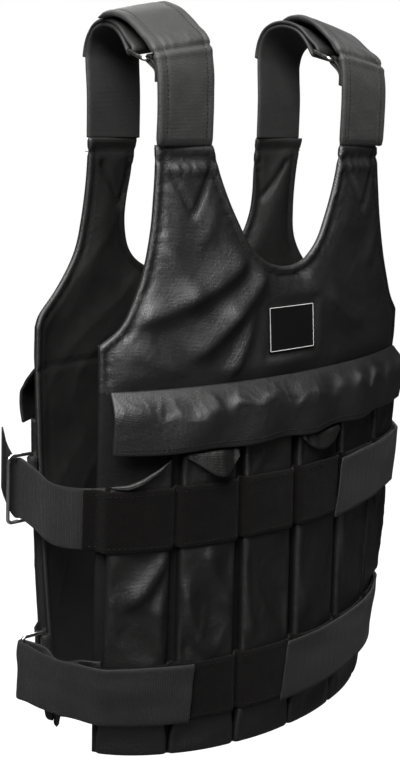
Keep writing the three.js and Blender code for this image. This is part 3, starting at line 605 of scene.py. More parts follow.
def sheet_mesh(grid, thick):
    """Closed sheet round a grid of points on its middle, with rounded rims."""
    rows, columns = grid.shape[:2]
    normal = grid_normals(grid)
    half = np.broadcast_to(np.asarray(thick, float), (rows, columns))[..., None] / 2
    u, v = grid_lengths(grid)
    flat = np.stack(np.meshgrid(u, v), -1)
    order = [(0, c) for c in range(columns - 1)] + [(r, columns - 1) for r in range(rows - 1)]
    order += [(rows - 1, c) for c in range(columns - 1, 0, -1)] + [(r, 0) for r in range(rows - 1, 0, -1)]
    row, column = np.array(order).T
    edge = grid[row, column]
    out = unit(edge - grid[np.clip(row, 1, rows - 2), np.clip(column, 1, columns - 2)])
    rim = edge + out * half[row, column] * RIM_BULGE
    count = rows * columns
    points = np.vstack([(grid + normal * half).reshape(-1, 3), (grid - normal * half).reshape(-1, 3), rim])
    flats = np.vstack([flat.reshape(-1, 2), flat.reshape(-1, 2), flat[row, column]])
    index = np.arange(count).reshape(rows, columns)
    quads = np.stack([index[:-1, :-1], index[:-1, 1:], index[1:, 1:], index[1:, :-1]], -1).reshape(-1, 4)
    faces = quads.tolist() + (quads[:, ::-1] + count).tolist()
    ring = index[row, column].tolist()
    turns = len(ring)
    for i in range(turns):
        j = (i + 1) % turns
        faces.append([ring[j], ring[i], 2 * count + i, 2 * count + j])
        faces.append([2 * count + j, 2 * count + i, ring[i] + count, ring[j] + count])
    return points, faces, flats, (u[-1] * MM, v[-1] * MM)


def sheet_piece(name, grid, thick, material):
    points, faces, flats, size = sheet_mesh(grid, thick)
    piece = make_piece(name, points, faces, material, flats)
    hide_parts(name)
    return piece


def ring_mesh(path, radius, sides):
    """Round wire along a closed path of points."""
    tangent = unit(np.roll(path, -1, 0) - np.roll(path, 1, 0))
    plane = np.linalg.svd(path - path.mean(0))[2][2]
    side = np.cross(tangent, plane)
    turn = np.linspace(0, 2 * math.pi, sides, endpoint=False)[:, None]
    rings = path[:, None] + radius * (np.cos(turn) * side[:, None] + np.sin(turn) * plane)
    count = len(path)
    faces = []
    for i in range(count):
        here, after = i * sides, (i + 1) % count * sides
        for j in range(sides):
            k = (j + 1) % sides
            faces.append([here + j, here + k, after + k, after + j])
    return rings.reshape(-1, 3), faces


# A stitch is a short arc of thread that dives into the cloth at both ends: share of its length,
# lift and girth as shares of its radius
THREAD_SIDES = 5
STITCH_RINGS = [
    (0.0, -0.35, 0.35), (0.14, 0.25, 1.0), (0.5, 0.6, 1.1), (0.86, 0.25, 1.0), (1.0, -0.35, 0.35),
]


class Stitching:
    """Gathers the stitches of many seams into one piece."""

    def __init__(self):
        self.points = []
        self.faces = []

    def seam(self, line, normals, pitch=STITCH_PITCH, length=STITCH_LENGTH, radius=STITCH_RADIUS):
        along = lengths_along(line)
        count = int(along[-1] // pitch)
        for i in range(count):
            start = i * pitch + (along[-1] - count * pitch) / 2
            self.stitch(line, normals, along, start, start + length, radius)

    def stitch(self, line, normals, along, start, end, radius):
        def pick(values, at):
            return np.array([np.interp(at, along, values[:, k]) for k in range(3)])

        way = unit(pick(line, end) - pick(line, start))
        base = len(self.points)
        for share, lift, girth in STITCH_RINGS:
            at = mix(start, end, share)
            up = unit(pick(normals, at))
            side = np.cross(way, up)
            core = pick(line, at) + up * lift * radius
            for j in range(THREAD_SIDES):
                angle = 2 * math.pi * j / THREAD_SIDES
                around = math.cos(angle) * side + math.sin(angle) * up
                self.points.append(core + around * radius * girth)
        for i in range(len(STITCH_RINGS) - 1):
            for j in range(THREAD_SIDES):
                k = (j + 1) % THREAD_SIDES
                a = base + i * THREAD_SIDES
                b = a + THREAD_SIDES
                self.faces.append([a + j, a + k, b + k, b + j])
        last_ring = base + (len(STITCH_RINGS) - 1) * THREAD_SIDES
        self.faces.append([base + j for j in range(THREAD_SIDES)])
        self.faces.append([last_ring + j for j in range(THREAD_SIDES)])

    def finish(self, name, material=THREAD):
        flat = np.array(self.points)[:, [0, 2]]
        return make_piece(name, self.points, self.faces, material, flat)


def body_seam(stitching, side, line, off, facing, **sizes):
    """Stitches along a line on the cloth; facing is 1 on a panel's outer face and -1 on its inner."""
    s, z = np.asarray(line, float).T
    height = off(s, z)
    here = on_body(side, s, z, height)
    above = on_body(side, s, z, height + facing)
    stitching.seam(here, above - here, **sizes)


# Panels
FRONT_PANEL = dict(
    side=FRONT, drop=FRONT_NECK_DROP, neckline=FRONT_NECKLINE, armhole=FRONT_ARMHOLE, vee=FRONT_VEE
)
BACK_PANEL = dict(
    side=BACK, drop=BACK_NECK_DROP, neckline=BACK_NECKLINE, armhole=BACK_ARMHOLE, vee=BACK_VEE
)


def armhole_points(panel):
    """The wearer's left armhole, from the side seam up to the arm's top."""
    points = [(PANEL_HALF, BIB_HEIGHT - ARMHOLE_DROP - 2)]
    for drop, out in panel["armhole"][::-1]:
        points.append((mix(ARM_OUTER, PANEL_HALF, out), BIB_HEIGHT - drop * ARMHOLE_DROP))
    return points


def neckline_points(panel):
    """The neckline from the wearer's left arm to the right one."""
    left = [(NECK_HALF * half, BIB_HEIGHT - share * panel["drop"]) for share, half in panel["neckline"]]
    bottom = [(0, BIB_HEIGHT - panel["drop"])]
    return left + bottom + [(-s, z) for s, z in left[::-1]]


def panel_outline(panel, step=CELL * 0.8):
    """Closed outline from the hem's right end, with straight runs between hem, armholes and neck."""
    armhole = armhole_points(panel)
    neckline = neckline_points(panel)
    mirrored = [(-s, z) for s, z in armhole[::-1]]
    edges = [[(-PANEL_HALF, 0), (PANEL_HALF, 0)], armhole, neckline, mirrored]
    runs = []
    for edge, after in zip(edges, edges[1:] + edges[:1]):
        runs.append(spaced(edge, step, len(edge) > 2)[:-1])
        runs.append(spaced([edge[-1], after[0]], step, False)[:-1])
    return np.vstack(runs)


def fold_rise(folds, s, z):
    """Soft ridges along the folds, steeper on their lower side."""
    total = np.zeros(np.shape(s))
    for ax, az, bx, bz, rise, upper, lower in folds:
        length = math.hypot(bx - ax, bz - az)
        ux, uz = (bx - ax) / length, (bz - az) / length
        along = (s - ax) * ux + (z - az) * uz
        nx, nz = (-uz, ux) if ux > 0 else (uz, -ux)
        bend = 0.06 * length * np.sin(np.clip(along / length, 0, 1) * math.pi)
        across = (s - ax) * nx + (z - az) * nz + bend
        width = np.where(across > 0, upper, lower)
        ends = smoothstep(-12, 10, along) * smoothstep(-12, 10, length - along)
        total = total + rise * np.exp(-(np.abs(across / width) ** 1.7)) * ends
    return total


def vee_lines(panel):
    vee = panel["vee"]
    return [vee, [(-s, z) for s, z in vee]]


def seam_groove(panel, s, z, reach):
    """Depth of the grooves that the stitching pulls into the padding."""
    groove = 1.9 * bell(reach - SEAM_INSET, 1.7)
    for line in vee_lines(panel):
        groove = np.maximum(groove, 2.8 * bell(line_reach(s, z, line), 2.3))
    return np.maximum(groove, 2.0 * bell(z - BIB_HEIGHT + TOP_SEAM, 1.8))


def label_calm(s, z):
    """How much the stiff label flattens the cloth round it, 0 to 1."""
    beyond = np.maximum(np.abs(s) - LABEL_WIDTH / 2, np.abs(z - LABEL_MID) - LABEL_HEIGHT / 2)
    return smoothstep(9, 1, beyond)


def top_hem(s, z):
    """The rolled hem at an arm's top, and the puckered ridge under its seam."""
    rise = z - BIB_HEIGHT + TOP_SEAM
    pucker = 1.0 + 0.6 * waves(s, 0.15 * z, 5, 12)
    return 1.3 * bell(rise - 5, 3.0) + 1.6 * pucker * bell(rise + 6.5, 3.6)


def panel_outer(panel, s, z, reach):
    """How far a panel's outer face stands out: puffed and folded on the bib, flat under the pockets."""
    bib = smoothstep(FLAP_TOP - 4, FLAP_TOP + 14, z)
    puff = 2.6 * smoothstep(SEAM_INSET, SEAM_INSET + 18, reach)
    puff = puff + smoothstep(0.5, 2.5, reach) * smoothstep(SEAM_INSET, 3.0, reach)
    soft = 1.3 * waves(s, z, 76, 3 + panel["side"], 1.6, -40 * panel["side"])
    pucker = 0.6 * waves(s, z, 7, 11) * bell(reach - SEAM_INSET - 3, 4)
    lift = bib * (puff + soft * smoothstep(6, 24, reach) + pucker + top_hem(s, z) * smoothstep(2, 8, reach))
    if panel["side"] == FRONT:
        lift = lift + bib * fold_rise(BIB_FOLDS, s, z) * smoothstep(3, 15, reach)
        crumple = creases(s, z, 60, 5, 2.4, -38)
        lift = lift * (1 - label_calm(s, z)) + 2.0 * label_calm(s, z)
        lift = lift + 0.6 * bib * crumple * smoothstep(6, 16, reach) * (1 - label_calm(s, z))
    else:
        crumple = creases(s, z, 54, 15, 2.2, 35) + 0.3 * creases(s, z, 26, 18, 2.0, -40)
        lift = lift + 1.4 * bib * crumple * smoothstep(6, 16, reach)
    return lift - bib * seam_groove(panel, s, z, reach)


def panel_inner(panel, s, z, reach):
    """How far a panel's inner face stands in, towards the body."""
    puff = 2.0 * smoothstep(SEAM_INSET, SEAM_INSET + 20, reach)
    soft = 2.4 * waves(s, z, 110, 21 + panel["side"], 1.3, 50)
    crumple = creases(s, z, 90, 25, 1.6, 40)
    grooves = seam_groove(panel, s, z, reach) + 1.4 * bell(z - FLAP_TOP, 2.0)
    return puff + (soft + crumple) * smoothstep(4, 20, reach) - grooves


def inside_outline(points, outline):
    """Which points lie inside a closed outline, by counting crossings."""
    inside = np.zeros(len(points), bool)
    x, y = points[:, 0], points[:, 1]
    for (ax, ay), (bx, by) in zip(outline, np.roll(outline, -1, 0)):
        if ay == by:
            continue
        crosses = (ay > y) != (by > y)
        at = ax + (y - ay) * (bx - ax) / (by - ay)
        inside ^= crosses & (x < at)
    return inside


def panel_places(outline, inward, reach_of):
    """Places of a panel's points: its outline, two rows along it and a staggered grid inside."""
    places = [outline]
    for depth in (0.7, 1.8):
        ring = outline + inward * depth
        places.append(ring[reach_of(ring) > 0.85 * depth])
    grid = []
    for i, z in enumerate(np.arange(CELL, BIB_HEIGHT, CELL * 0.87)):
        s = np.arange(-PANEL_HALF, PANEL_HALF, CELL) + (CELL / 2 if i % 2 else 0)
        grid.append(np.stack([s, np.full(len(s), z)], 1))
    grid = np.vstack(grid)
    grid = grid[inside_outline(grid, outline)]
    places.append(grid[reach_of(grid) > PANEL_ROUNDING])
    return np.vstack(places)


def add_panel(name, panel, stitching):
    outline = panel_outline(panel)
    way = unit(unit(np.roll(outline, -1, 0) - outline) + unit(outline - np.roll(outline, 1, 0)))
    inward = np.stack([-way[:, 1], way[:, 0]], 1)
    closed = np.vstack([outline, outline[:1]])

    def reach_of(points):
        return line_reach(points[:, 0], points[:, 1], closed)

    places = panel_places(outline, inward, reach_of)
    edges = [(i, (i + 1) % len(outline)) for i in range(len(outline))]
    result = delaunay_2d_cdt([Vector(place) for place in places], edges, [], 1, 1e-5, True)
    verts = np.array([tuple(v) for v in result[0]])
    triangles = np.array(result[2])
    triangles = triangles[inside_outline(verts[triangles].mean(1), outline)]
    s, z = verts[:, 0], verts[:, 1]
    reach = reach_of(verts)
    free = reach >= EDGE_REACH
    half = PANEL_THICK / 2
    bulge = np.sqrt(1 - (1 - np.clip(reach / PANEL_ROUNDING, 0, 1)) ** 2)
    outer_off = -half + half * bulge + np.where(free, panel_outer(panel, s, z, reach) * bulge, 0)
    inner_off = -half - half * bulge - np.where(free, panel_inner(panel, s, z, reach) * bulge, 0)
    outer = on_body(panel["side"], s, z, outer_off)
    inner = on_body(panel["side"], s, z, inner_off)
    inner_index = np.where(free, len(verts) + np.cumsum(free) - 1, np.arange(len(verts)))
    faces = triangles.tolist() + inner_index[triangles][:, ::-1].tolist()
    points = np.vstack([outer, inner[free]])
    flats = np.vstack([verts, verts[free]])
    piece = make_piece(name, points, faces, NYLON, flats)
    # The lining, lightened as painted light, goes on the inner faces
    piece.data.materials.append(LINING_WITH_PAINTED_LIGHT)
    piece.data.materials.append(PAINTED_SHADE_NYLON)
    # Outer faces below the flaps' tops get the darker nylon, which is painted shade under the flaps and
    # pockets
    marks = np.ones(len(piece.data.polygons), np.int32)
    marks[:len(triangles)] = np.where(z[triangles].mean(1) > FLAP_TOP, 0, 2)
    piece.data.polygons.foreach_set("material_index", marks)
    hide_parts(name)
    add_panel_stitches(panel, outline, inward, stitching)
    return piece


def add_panel_stitches(panel, outline, inward, stitching):
    closed = np.vstack([outline, outline[:1]])

    def outer(s, z):
        reach = line_reach(s, z, closed)
        return panel_outer(panel, s, z, reach) + 0.1

    def inner(s, z):
        reach = line_reach(s, z, closed)
        return -PANEL_THICK - panel_inner(panel, s, z, reach) - 0.1

    seam = outline + inward * SEAM_INSET
    clear = line_reach(seam[:, 0], seam[:, 1], closed) > 0.9 * SEAM_INSET
    seam = seam[clear & (seam[:, 1] > FLAP_TOP + 4)]
    breaks = np.flatnonzero(np.linalg.norm(np.diff(seam, axis=0), axis=1) > 3 * CELL) + 1
    lines = [run for run in np.split(seam, breaks) if len(run) > 3]
    lines += [spaced(line, 1.0, False) for line in vee_lines(panel)]
    for hand in (RIGHT, LEFT):
        top = BIB_HEIGHT - TOP_SEAM
        lines.append(spaced([(hand * (NECK_HALF - 1), top), (hand * (ARM_OUTER - 1), top)], 1.0, False))
    for line in lines:
        body_seam(stitching, panel["side"], line, outer, 1)
        body_seam(stitching, panel["side"], line, inner, -1)
    cross = spaced([(-PANEL_HALF + 6, FLAP_TOP), (PANEL_HALF - 6, FLAP_TOP)], 2.0, False)
    body_seam(stitching, panel["side"], cross, inner, -1)


# Pockets
def pocket_edge(pocket, end):
    middle = (pocket - (POCKETS - 1) / 2) * POCKET_PITCH
    return middle + (end - 0.5) * POCKET_WIDTH


def pocket_section():
    """Places round a pocket's gussets, corners and face, as shares of its width and depth."""
    straight = POCKET_DEPTH - POCKET_CORNER
    half = [(0.0, off) for off in np.linspace(0, straight, 4)]
    half += arc((POCKET_CORNER, straight), POCKET_CORNER, 180, 90, 4)[1:]
    face = [(s, POCKET_DEPTH) for s in np.linspace(POCKET_CORNER, POCKET_WIDTH - POCKET_CORNER, 20)[1:-1]]
    mirrored = [(POCKET_WIDTH - s, off) for s, off in half[::-1]]
    return columns_of(half + face + mirrored) / [[POCKET_WIDTH], [POCKET_DEPTH]]


def face_swell(place):
    """A pocket's face as a share of its depth: rounder in the middle."""
    return FACE_RIM + FACE_SWELL * (1 - (2 * place - 1) ** 2)


def pocket_relief(side, pocket, s, z):
    """Soft folds of a pocket's face."""
    seed = 40 + pocket + (0 if side == FRONT else 10)
    tilt = 62 if pocket % 2 else 118
    soft = 0.9 * waves(s, z, 44, seed, 2.6, tilt)
    sharp = 0.9 * creases(s, z, 36, seed + 50, 3.0, tilt)
    sharp = sharp + 0.35 * creases(s, z, 14, seed + 90, 2.0, tilt - 20)
    if side == FRONT:
        own = [fold for owner, *fold in FRONT_POCKET_FOLDS if owner == pocket]
        return 1.3 * (soft + sharp) - 2.0 + 1.8 * fold_rise(own, s, z)
    return 1.6 * (soft + sharp) - 1.2


def near_band(z):
    """How much a band presses on the pockets at a height, 0 to 1."""
    reach = WEBBING_WIDTH / 2
    total = 0
    for middle in (UPPER_BAND_MID, LOWER_BAND_MID):
        total = total + smoothstep(reach + 12, reach - 3, np.abs(z - middle))
    return total


def folded_rim(mouth, place, z, off):
    """Heights and distances of the rows of a rim that is folded out, from the mouth on."""
    turns = np.linspace(0, 1, 13)[1:, None]
    over = math.pi * np.clip(turns * 3, 0, 1)
    fold = mouth["lip"] * np.sin(math.pi * place) ** 0.8 * (0.8 + mouth["lean"] * (place - 0.5))
    roll = np.minimum(fold / 3, 1.0)
    rim_z = z + roll * 1.6 * np.sin(over) - fold * np.clip(turns - 0.2, 0, 1) * 1.1
    rim_off = off + roll * 1.9 * (1 - np.cos(over)) + 0.28 * fold * turns
    return rim_z, rim_off


def add_pocket(name, side, pocket, mouth):
    place, deep = pocket_section()
    gape_from = UPPER_BAND_MID + WEBBING_WIDTH / 2 + CLEARANCE
    foot, full = columns_of(POCKET_FOOT)
    body = np.arange(foot[-1] + POCKET_ROW, gape_from - POCKET_BOTTOM, POCKET_ROW)
    full = np.concatenate([full, np.ones(len(body) + MOUTH_ROWS)])[:, None]
    ends = np.interp(place, np.linspace(0, 1, 5), mouth["line"]) * POCKET_TOP
    heights = POCKET_BOTTOM + POCKET_CLOTH / 2 + np.concatenate([foot, body])
    z = np.repeat(heights[:, None], len(place), 1)
    z = np.vstack([z, mix(z[-1], ends, np.linspace(0, 1, MOUTH_ROWS + 1)[1:, None])])
    spread = (POCKET_GAP / 2 - POCKET_CLOTH / 2) * smoothstep(44, 14, z)
    rim = pocket_edge(pocket, 0) + POCKET_CLOTH / 2 - spread
    s = rim + place * (POCKET_WIDTH - POCKET_CLOTH + 2 * spread)
    on_face = smoothstep(0.0, 0.14, place) * smoothstep(1.0, 0.86, place)
    opening = smoothstep(gape_from - 4, POCKET_TOP - 14, z)
    gape = mouth["gape"] * opening * np.sin(math.pi * place)
    relief = pocket_relief(side, pocket, s, z) * on_face * (1 - 0.85 * near_band(z)) * smoothstep(2, 20, z)
    off = deep * face_swell(place) * POCKET_DEPTH * full + (gape + relief) * (deep > 0.5)
    off = off * mix(0.82, 1.0, smoothstep(6, 44, z))
    off = np.maximum(off - POCKET_CLOTH / 2, POCKET_CLOTH / 2 + CLEARANCE)
    rim_z, rim_off = folded_rim(mouth, place, z[-1], off[-1])
    s = np.vstack([s, np.repeat(s[-1:], len(rim_z), 0)])
    grid = on_body(side, s, np.vstack([z, rim_z]), np.vstack([off, rim_off]))
    # The pockets take the nylon darkened as painted shade
    return sheet_piece(name, grid, POCKET_CLOTH, SHADED_POCKET_NYLON)


# Storm flaps
def add_flap(name, side, stitching):
    columns = 220
    rows = 36
    line = curved(np.array(FLAP_SECTION) * (FLAP_DROP, FLAP_STAND), rows)
    s = np.tile(np.linspace(-FLAP_HALF, FLAP_HALF, columns), (rows, 1))
    down = line[:, :1]
    out = line[:, 1:] * mix(1.0, 0.82, smoothstep(70, FLAP_HALF, s))
    free = smoothstep(0, FLAP_DROP * 0.3, down)
    seed = 70 if side == FRONT else 80
    height = FLAP_TOP - down
    crumple = 1.9 * creases(s, height, 38, seed, 1.8, 26) + 1.1 * creases(s, height, 18, seed + 1, 1.8, -30)
    crumple = (crumple - 1.5) * mix(1.0, 0.4, smoothstep(-20, 70, s))
    shape = crumple * free * mix(0.1, 1.0, smoothstep(FLAP_DROP * 0.46, FLAP_DROP * 0.3, down))
    knee = 3.2 * waves(s, 0, 30, seed + 5) * bell(down / FLAP_DROP - 0.32, 0.14)
    sway = np.sin(s / POCKET_PITCH * 2 * math.pi) * free + 0.8 * waves(s, height, 60, seed + 2) * free
    z = FLAP_TOP - down * (1 + 0.025 * waves(s, 0, 80, seed + 3)) + knee
    off = np.maximum(out, CLEARANCE + FLAP_THICK / 2) + shape + sway
    grid = on_body(side, s, z, off)
    piece = sheet_piece(name, grid, FLAP_THICK, NYLON)
    row = rows - 4
    here = grid[row, 2:-2]
    normal = on_body(side, s[row, 2:-2], z[row, 2:-2], off[row, 2:-2] + 1) - here
    stitching.seam(here + normal * (FLAP_THICK / 2 + 0.1), normal)
    return piece


# Loop bands
def band_line(side, step=2.0):
    """The band's middle across the pockets: s and how far it stands off the panel."""
    layers = 1 if side == FRONT else 2
    root = 2 * CLEARANCE + layers * (WEBBING_THICK + CLEARANCE)
    tail = BAND_TAIL if side == FRONT else 0
    s = np.arange(-PANEL_HALF - tail, PANEL_HALF + tail + 0.01, step)
    off = np.full(len(s), float(root))
    first, last = pocket_edge(0, 0), pocket_edge(POCKETS - 1, 1)
    for pocket in range(POCKETS):
        place = (s - pocket_edge(pocket, 0)) / POCKET_WIDTH
        inside = (place >= -0.01) & (place <= 1.01)
        off = np.where(inside, POCKET_DEPTH * face_swell(np.clip(place, 0, 1)) + CLEARANCE, off)
    phase = (s - first + POCKET_GAP / 2) / POCKET_PITCH
    gap = np.abs(phase - np.round(phase)) * POCKET_PITCH
    dip = BAND_DIP * smoothstep(POCKET_GAP * 0.75, 0, gap)
    face = POCKET_DEPTH + CLEARANCE
    away = np.where(s < 0, first - s, s - last)
    beside = mix(root, face, smoothstep(EDGE_MARGIN + 1, 0, away))
    off = np.where((s > first) & (s < last), np.maximum(off, face) - dip, beside)
    return s, off + BAND_THICK / 2


def add_band(name, side, middle, stitching):
    s, off = band_line(side)
    rows = 15
    up = np.linspace(-0.5, 0.5, rows)[:, None]
    z = middle + up * WEBBING_WIDTH + 0.5 * waves(s, 0, 70, int(middle) + side)
    lift = 0.25 * np.abs(waves(s, z, 22, int(middle) + 5 + side))
    curl = 0.35 * (2 * np.abs(up)) ** 6
    grid = on_body(side, s, z, off + lift + curl)
    piece = sheet_piece(name, grid, BAND_THICK, LOOP)
    for row in (1, rows - 2):
        here = (side, s[2:-2], z[row, 2:-2])
        normal = on_body(*here, off[2:-2] + 1) - on_body(*here, off[2:-2])
        stitching.seam(grid[row, 2:-2] + normal * BAND_THICK / 2, normal, pitch=4.2, radius=0.22)
    return piece


# Side straps
def plan(point):
    return float(point[0]), float(point[1])


def body_station(side, s, z, off, sag=0.0):
    x, y = plan(on_body(side, s, z, off))
    return x, y, sag


def ring_place(middle):
    off = CLEARANCE * 1.5 + WEBBING_THICK
    tab = np.array(plan(on_body(BACK, PANEL_HALF + RING_STANDOFF, middle, off)))
    direction = unit(np.array([1, 0.07]))
    return tab, tab + direction * (RING_WIDTH - WIRE_DIAMETER), direction


def around_bar(bar, radius, start, end, steps, lift=0.0):
    return [(x, y, -lift) for x, y in arc(bar, radius, start, end, steps)]


def free_run(table, z, middle, lift):
    front = on_body(FRONT, PANEL_HALF, z, 0)
    back = on_body(BACK, PANEL_HALF, middle, 0)
    run = []
    for along, out, sag in table:
        x = mix(front[0], back[0], along) + out * WEBBING_WIDTH
        y = mix(front[1], back[1], along)
        run.append((float(x), float(y), sag * WEBBING_WIDTH - lift * along))
    return run


def strap_root():
    return mix(pocket_edge(POCKETS - 1, 1), PANEL_HALF, 0.2)


def strap_run(z, middle, lift):
    off = CLEARANCE + WEBBING_THICK / 2
    places = [strap_root(), PANEL_HALF, PANEL_HALF + BAND_TAIL]
    return [body_station(FRONT, s, z, off) for s in places] + free_run(STRAP_RUN, z, middle, lift)


def ribbon_grid(stations, middle, width, rows, step):
    """Grid of an upright ribbon: stations(z) gives plan points and sag for each height."""
    heights = middle + np.linspace(-0.5, 0.5, rows) * width
    longest = spaced(np.array(stations(middle))[:, :2], step)
    lines = []
    for z in heights:
        line = curved(np.array(stations(z)), len(longest))
        lines.append(np.stack([line[:, 0], line[:, 1], z - line[:, 2]], 1))
    return np.array(lines)


def ribbed_thickness(grid, thick, pitch=RIB_PITCH, depth=RIB_DEPTH):
    """Thickness that swells at each rib across the ribbon, flat along its two selvages."""
    u, v = grid_lengths(grid)
    ribs = 0.5 - 0.5 * np.cos(2 * math.pi * u / pitch)
    selvage = smoothstep(0.5, 3.0, np.minimum(v, v[-1] - v))[:, None]
    return thick - depth + depth * 2 * ribs * selvage + 0.3 * (1 - selvage)


def wavy(grid, seed):
    """Moves a ribbon's grid in and out in soft waves that die away at its root."""
    u, v = grid_lengths(grid)
    field = 0.5 * waves(u, v[:, None], 60, seed, 0.5, 90) * smoothstep(20, 50, u)
    return grid + grid_normals(grid) * field[..., None]


def strap_piece(name, hand, grid, ribs):
    grid = grid * np.array([hand, 1, 1])
    depth = RIB_DEPTH if ribs else 0.12
    pitch = RIB_PITCH if ribs else 1.4
    thick = ribbed_thickness(grid, WEBBING_THICK, pitch, depth)
    return sheet_piece(name, grid, thick, WEBBING)


def add_folded_strap(name, hand, level, free_end, slant, stand, ribs, seed):
    """Round the ring's outer bar and forward over the pockets to a free end."""
    word, middle, lift = level
    _, outer, _ = ring_place(middle + lift)
    over = (FACE_RIM + FACE_SWELL) * POCKET_DEPTH + BAND_THICK + WEBBING_THICK / 2 + STRAP_EASE
    start = pocket_edge(POCKETS - 1, 1)
    end = hand * free_end
    pieces = int(round((start - end) / (POCKET_PITCH / 4)))

    def stations(z):
        fold = around_bar(outer, WEBBING_WRAP, 190, -30, 8, lift)
        lying = []
        for share in np.linspace(0, 1, pieces + 1):
            s = mix(start, end + slant * (z - middle), share)
            lying.append(body_station(FRONT, s, z, over + stand * share ** 4))
        return strap_run(z, middle, lift) + fold + free_run(RETURN_RUN, z, middle, lift) + lying

    grid = wavy(ribbon_grid(stations, middle, WEBBING_WIDTH, 17, 0.5 if ribs else 1.2), seed)
    return strap_piece(name, hand, grid, ribs)


def add_loose_strap(name, hand, level):
    """Passed through the ring, its end turned up behind the outer bar."""
    _, middle, lift = level
    tab, outer, _ = ring_place(middle + lift)
    through = (tab[0] + outer[0]) / 2
    behind = outer[1] + WIRE_DIAMETER + WEBBING_THICK
    reach = outer[0] + TAIL_REACH
    tail = [
        (through, tab[1] - WEBBING_THICK, -lift),
        (mix(through, outer[0], 0.2), behind - WEBBING_THICK, -lift),
        (mix(through, outer[0], 0.6), behind, -lift - TAIL_RISE * 0.25),
        (outer[0] - 1, behind + WEBBING_THICK, -lift - TAIL_RISE * 0.6),
        (reach, behind, -lift - TAIL_RISE),
    ]

    def stations(z):
        return strap_run(z, middle, lift) + tail

    grid = ribbon_grid(stations, middle, WEBBING_WIDTH, 17, 0.5)
    return strap_piece(name, hand, grid, True)


# Rings and their tabs
def ring_path(centre, across, up, half_across, half_up):
    points = []
    for a, b, start in ((1, -1, -90), (1, 1, 0), (-1, 1, 90), (-1, -1, 180)):
        corner = (a * (half_across - RING_CORNER), b * (half_up - RING_CORNER))
        for right, rise in arc(corner, RING_CORNER, start, start + 90, 6):
            points.append(centre + across * right + up * rise)
    return np.array(points)


def ring_piece(name, centre, across, up, half_across, half_up):
    path = ring_path(centre, across, up, half_across, half_up)
    points, faces = ring_mesh(path, WIRE_DIAMETER / 2, 16)
    piece = make_piece(name, points, faces, NICKEL)
    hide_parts(name)
    return piece


def add_side_ring(name, hand, middle):
    tab, outer, direction = ring_place(middle)
    centre = np.array([hand * (tab[0] + outer[0]) / 2, (tab[1] + outer[1]) / 2, middle])
    across = np.array([hand * direction[0], direction[1], 0])
    half_up = (WEBBING_WIDTH + RING_SLACK + WIRE_DIAMETER) / 2
    up = np.array([0, 0, 1.0])
    return ring_piece(name, centre, across, up, (RING_WIDTH - WIRE_DIAMETER) / 2, half_up)


def add_ring_tab(name, hand, middle):
    tab, _, _ = ring_place(middle)
    first = CLEARANCE + WEBBING_THICK / 2
    second = first + WEBBING_THICK + CLEARANCE
    beyond = PANEL_HALF + 3 * CLEARANCE
    edge = plan(on_body(BACK, PANEL_HALF, middle, second / 2))
    away = math.degrees(math.atan2(tab[1] - edge[1], tab[0] - edge[0]))
    eye = around_bar(tab, WEBBING_WRAP, away + 110, away - 110, 10)

    def stations(z):
        outer_leg = [body_station(BACK, s, z, second) for s in (strap_root(), PANEL_HALF)]
        inner_leg = [body_station(BACK, s, z, first) for s in (beyond, strap_root())]
        return outer_leg + eye + inner_leg

    grid = ribbon_grid(stations, middle, WEBBING_WIDTH, 15, 0.8) * np.array([hand, 1, 1])
    thick = ribbed_thickness(grid, WEBBING_THICK, 1.6, 0.15)
    return sheet_piece(name, grid, thick, WEBBING)


# Shoulders
def arch_normals(line):
    tangent = unit(np.gradient(line, axis=0))
    return np.stack([-tangent[:, 1], tangent[:, 0]], 1)


def arch_grid(line, middle, width, rows):
    """Grid of a ribbon over a shoulder that leans outwards and down towards the crown."""
    x, y, z = np.broadcast_arrays(middle + np.linspace(-0.5, 0.5, rows)[:, None] * width, *line.T)
    lean = SHOULDER_SLOPE * smoothstep(BIB_HEIGHT + 20, CROWN - 15, z)
    return np.stack([x, y, z - (np.abs(x) - FRONT_STRAP_X) * lean], -1)


def add_shoulder_pad(name, hand, stitching):
    line = np.array(PAD_LINE) * (ARCH_HALF_DEPTH, SHOULDER_RISE - CLEARANCE)
    line[:, 1] = BIB_HEIGHT + CLEARANCE + line[:, 1]
    outer = spaced(line, 1.6)
    normal = arch_normals(outer)
    middle = outer - normal * PAD_THICK / 2
    rows = 31
    grid = arch_grid(middle, hand * FRONT_STRAP_X, PAD_WIDTH - 1.2, rows)
    u, v = grid_lengths(grid)
    edge = np.minimum(v, v[-1] - v)[:, None]
    ends = np.minimum(u, u[-1] - u)
    thick = PAD_THICK * np.sqrt(1 - (1 - np.clip((edge + 0.8) / 3.5, 0, 1)) ** 2)
    thick = thick - 1.5 * bell(edge - SEAM_INSET, 1.4) + 0.8 * smoothstep(7, 14, edge)
    thick = thick * mix(0.55, 1.0, smoothstep(0, 5, ends)) + 0.25 * waves(u, v[:, None], 18, 90 + hand)
    beyond = u - PAD_SEAM
    pucker = (0.8 + 0.7 * waves(0.1 * u, v[:, None], 6, 95)) * smoothstep(0, 4, beyond)
    pucker = 2.2 * pucker * smoothstep(18, 6, beyond)
    ridge = 1.6 * bell(beyond + 4, 2.5)
    thick = thick + pucker + ridge - 2.4 * bell(beyond, 1.5)
    points, faces, flats, _ = sheet_mesh(grid, thick)
    piece = make_piece(name, points, faces, PAD_CLOTH, flats)
    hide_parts(name)
    up = np.stack([0 * normal[:, 0], normal[:, 0], normal[:, 1]], 1)
    for row in (4, rows - 5):
        for face in (1, -1):
            seam = grid[row] + face * up * (thick[row] / 2 + 0.05)[:, None]
            stitching.seam(seam[3:-3], face * up[3:-3])
    return piece


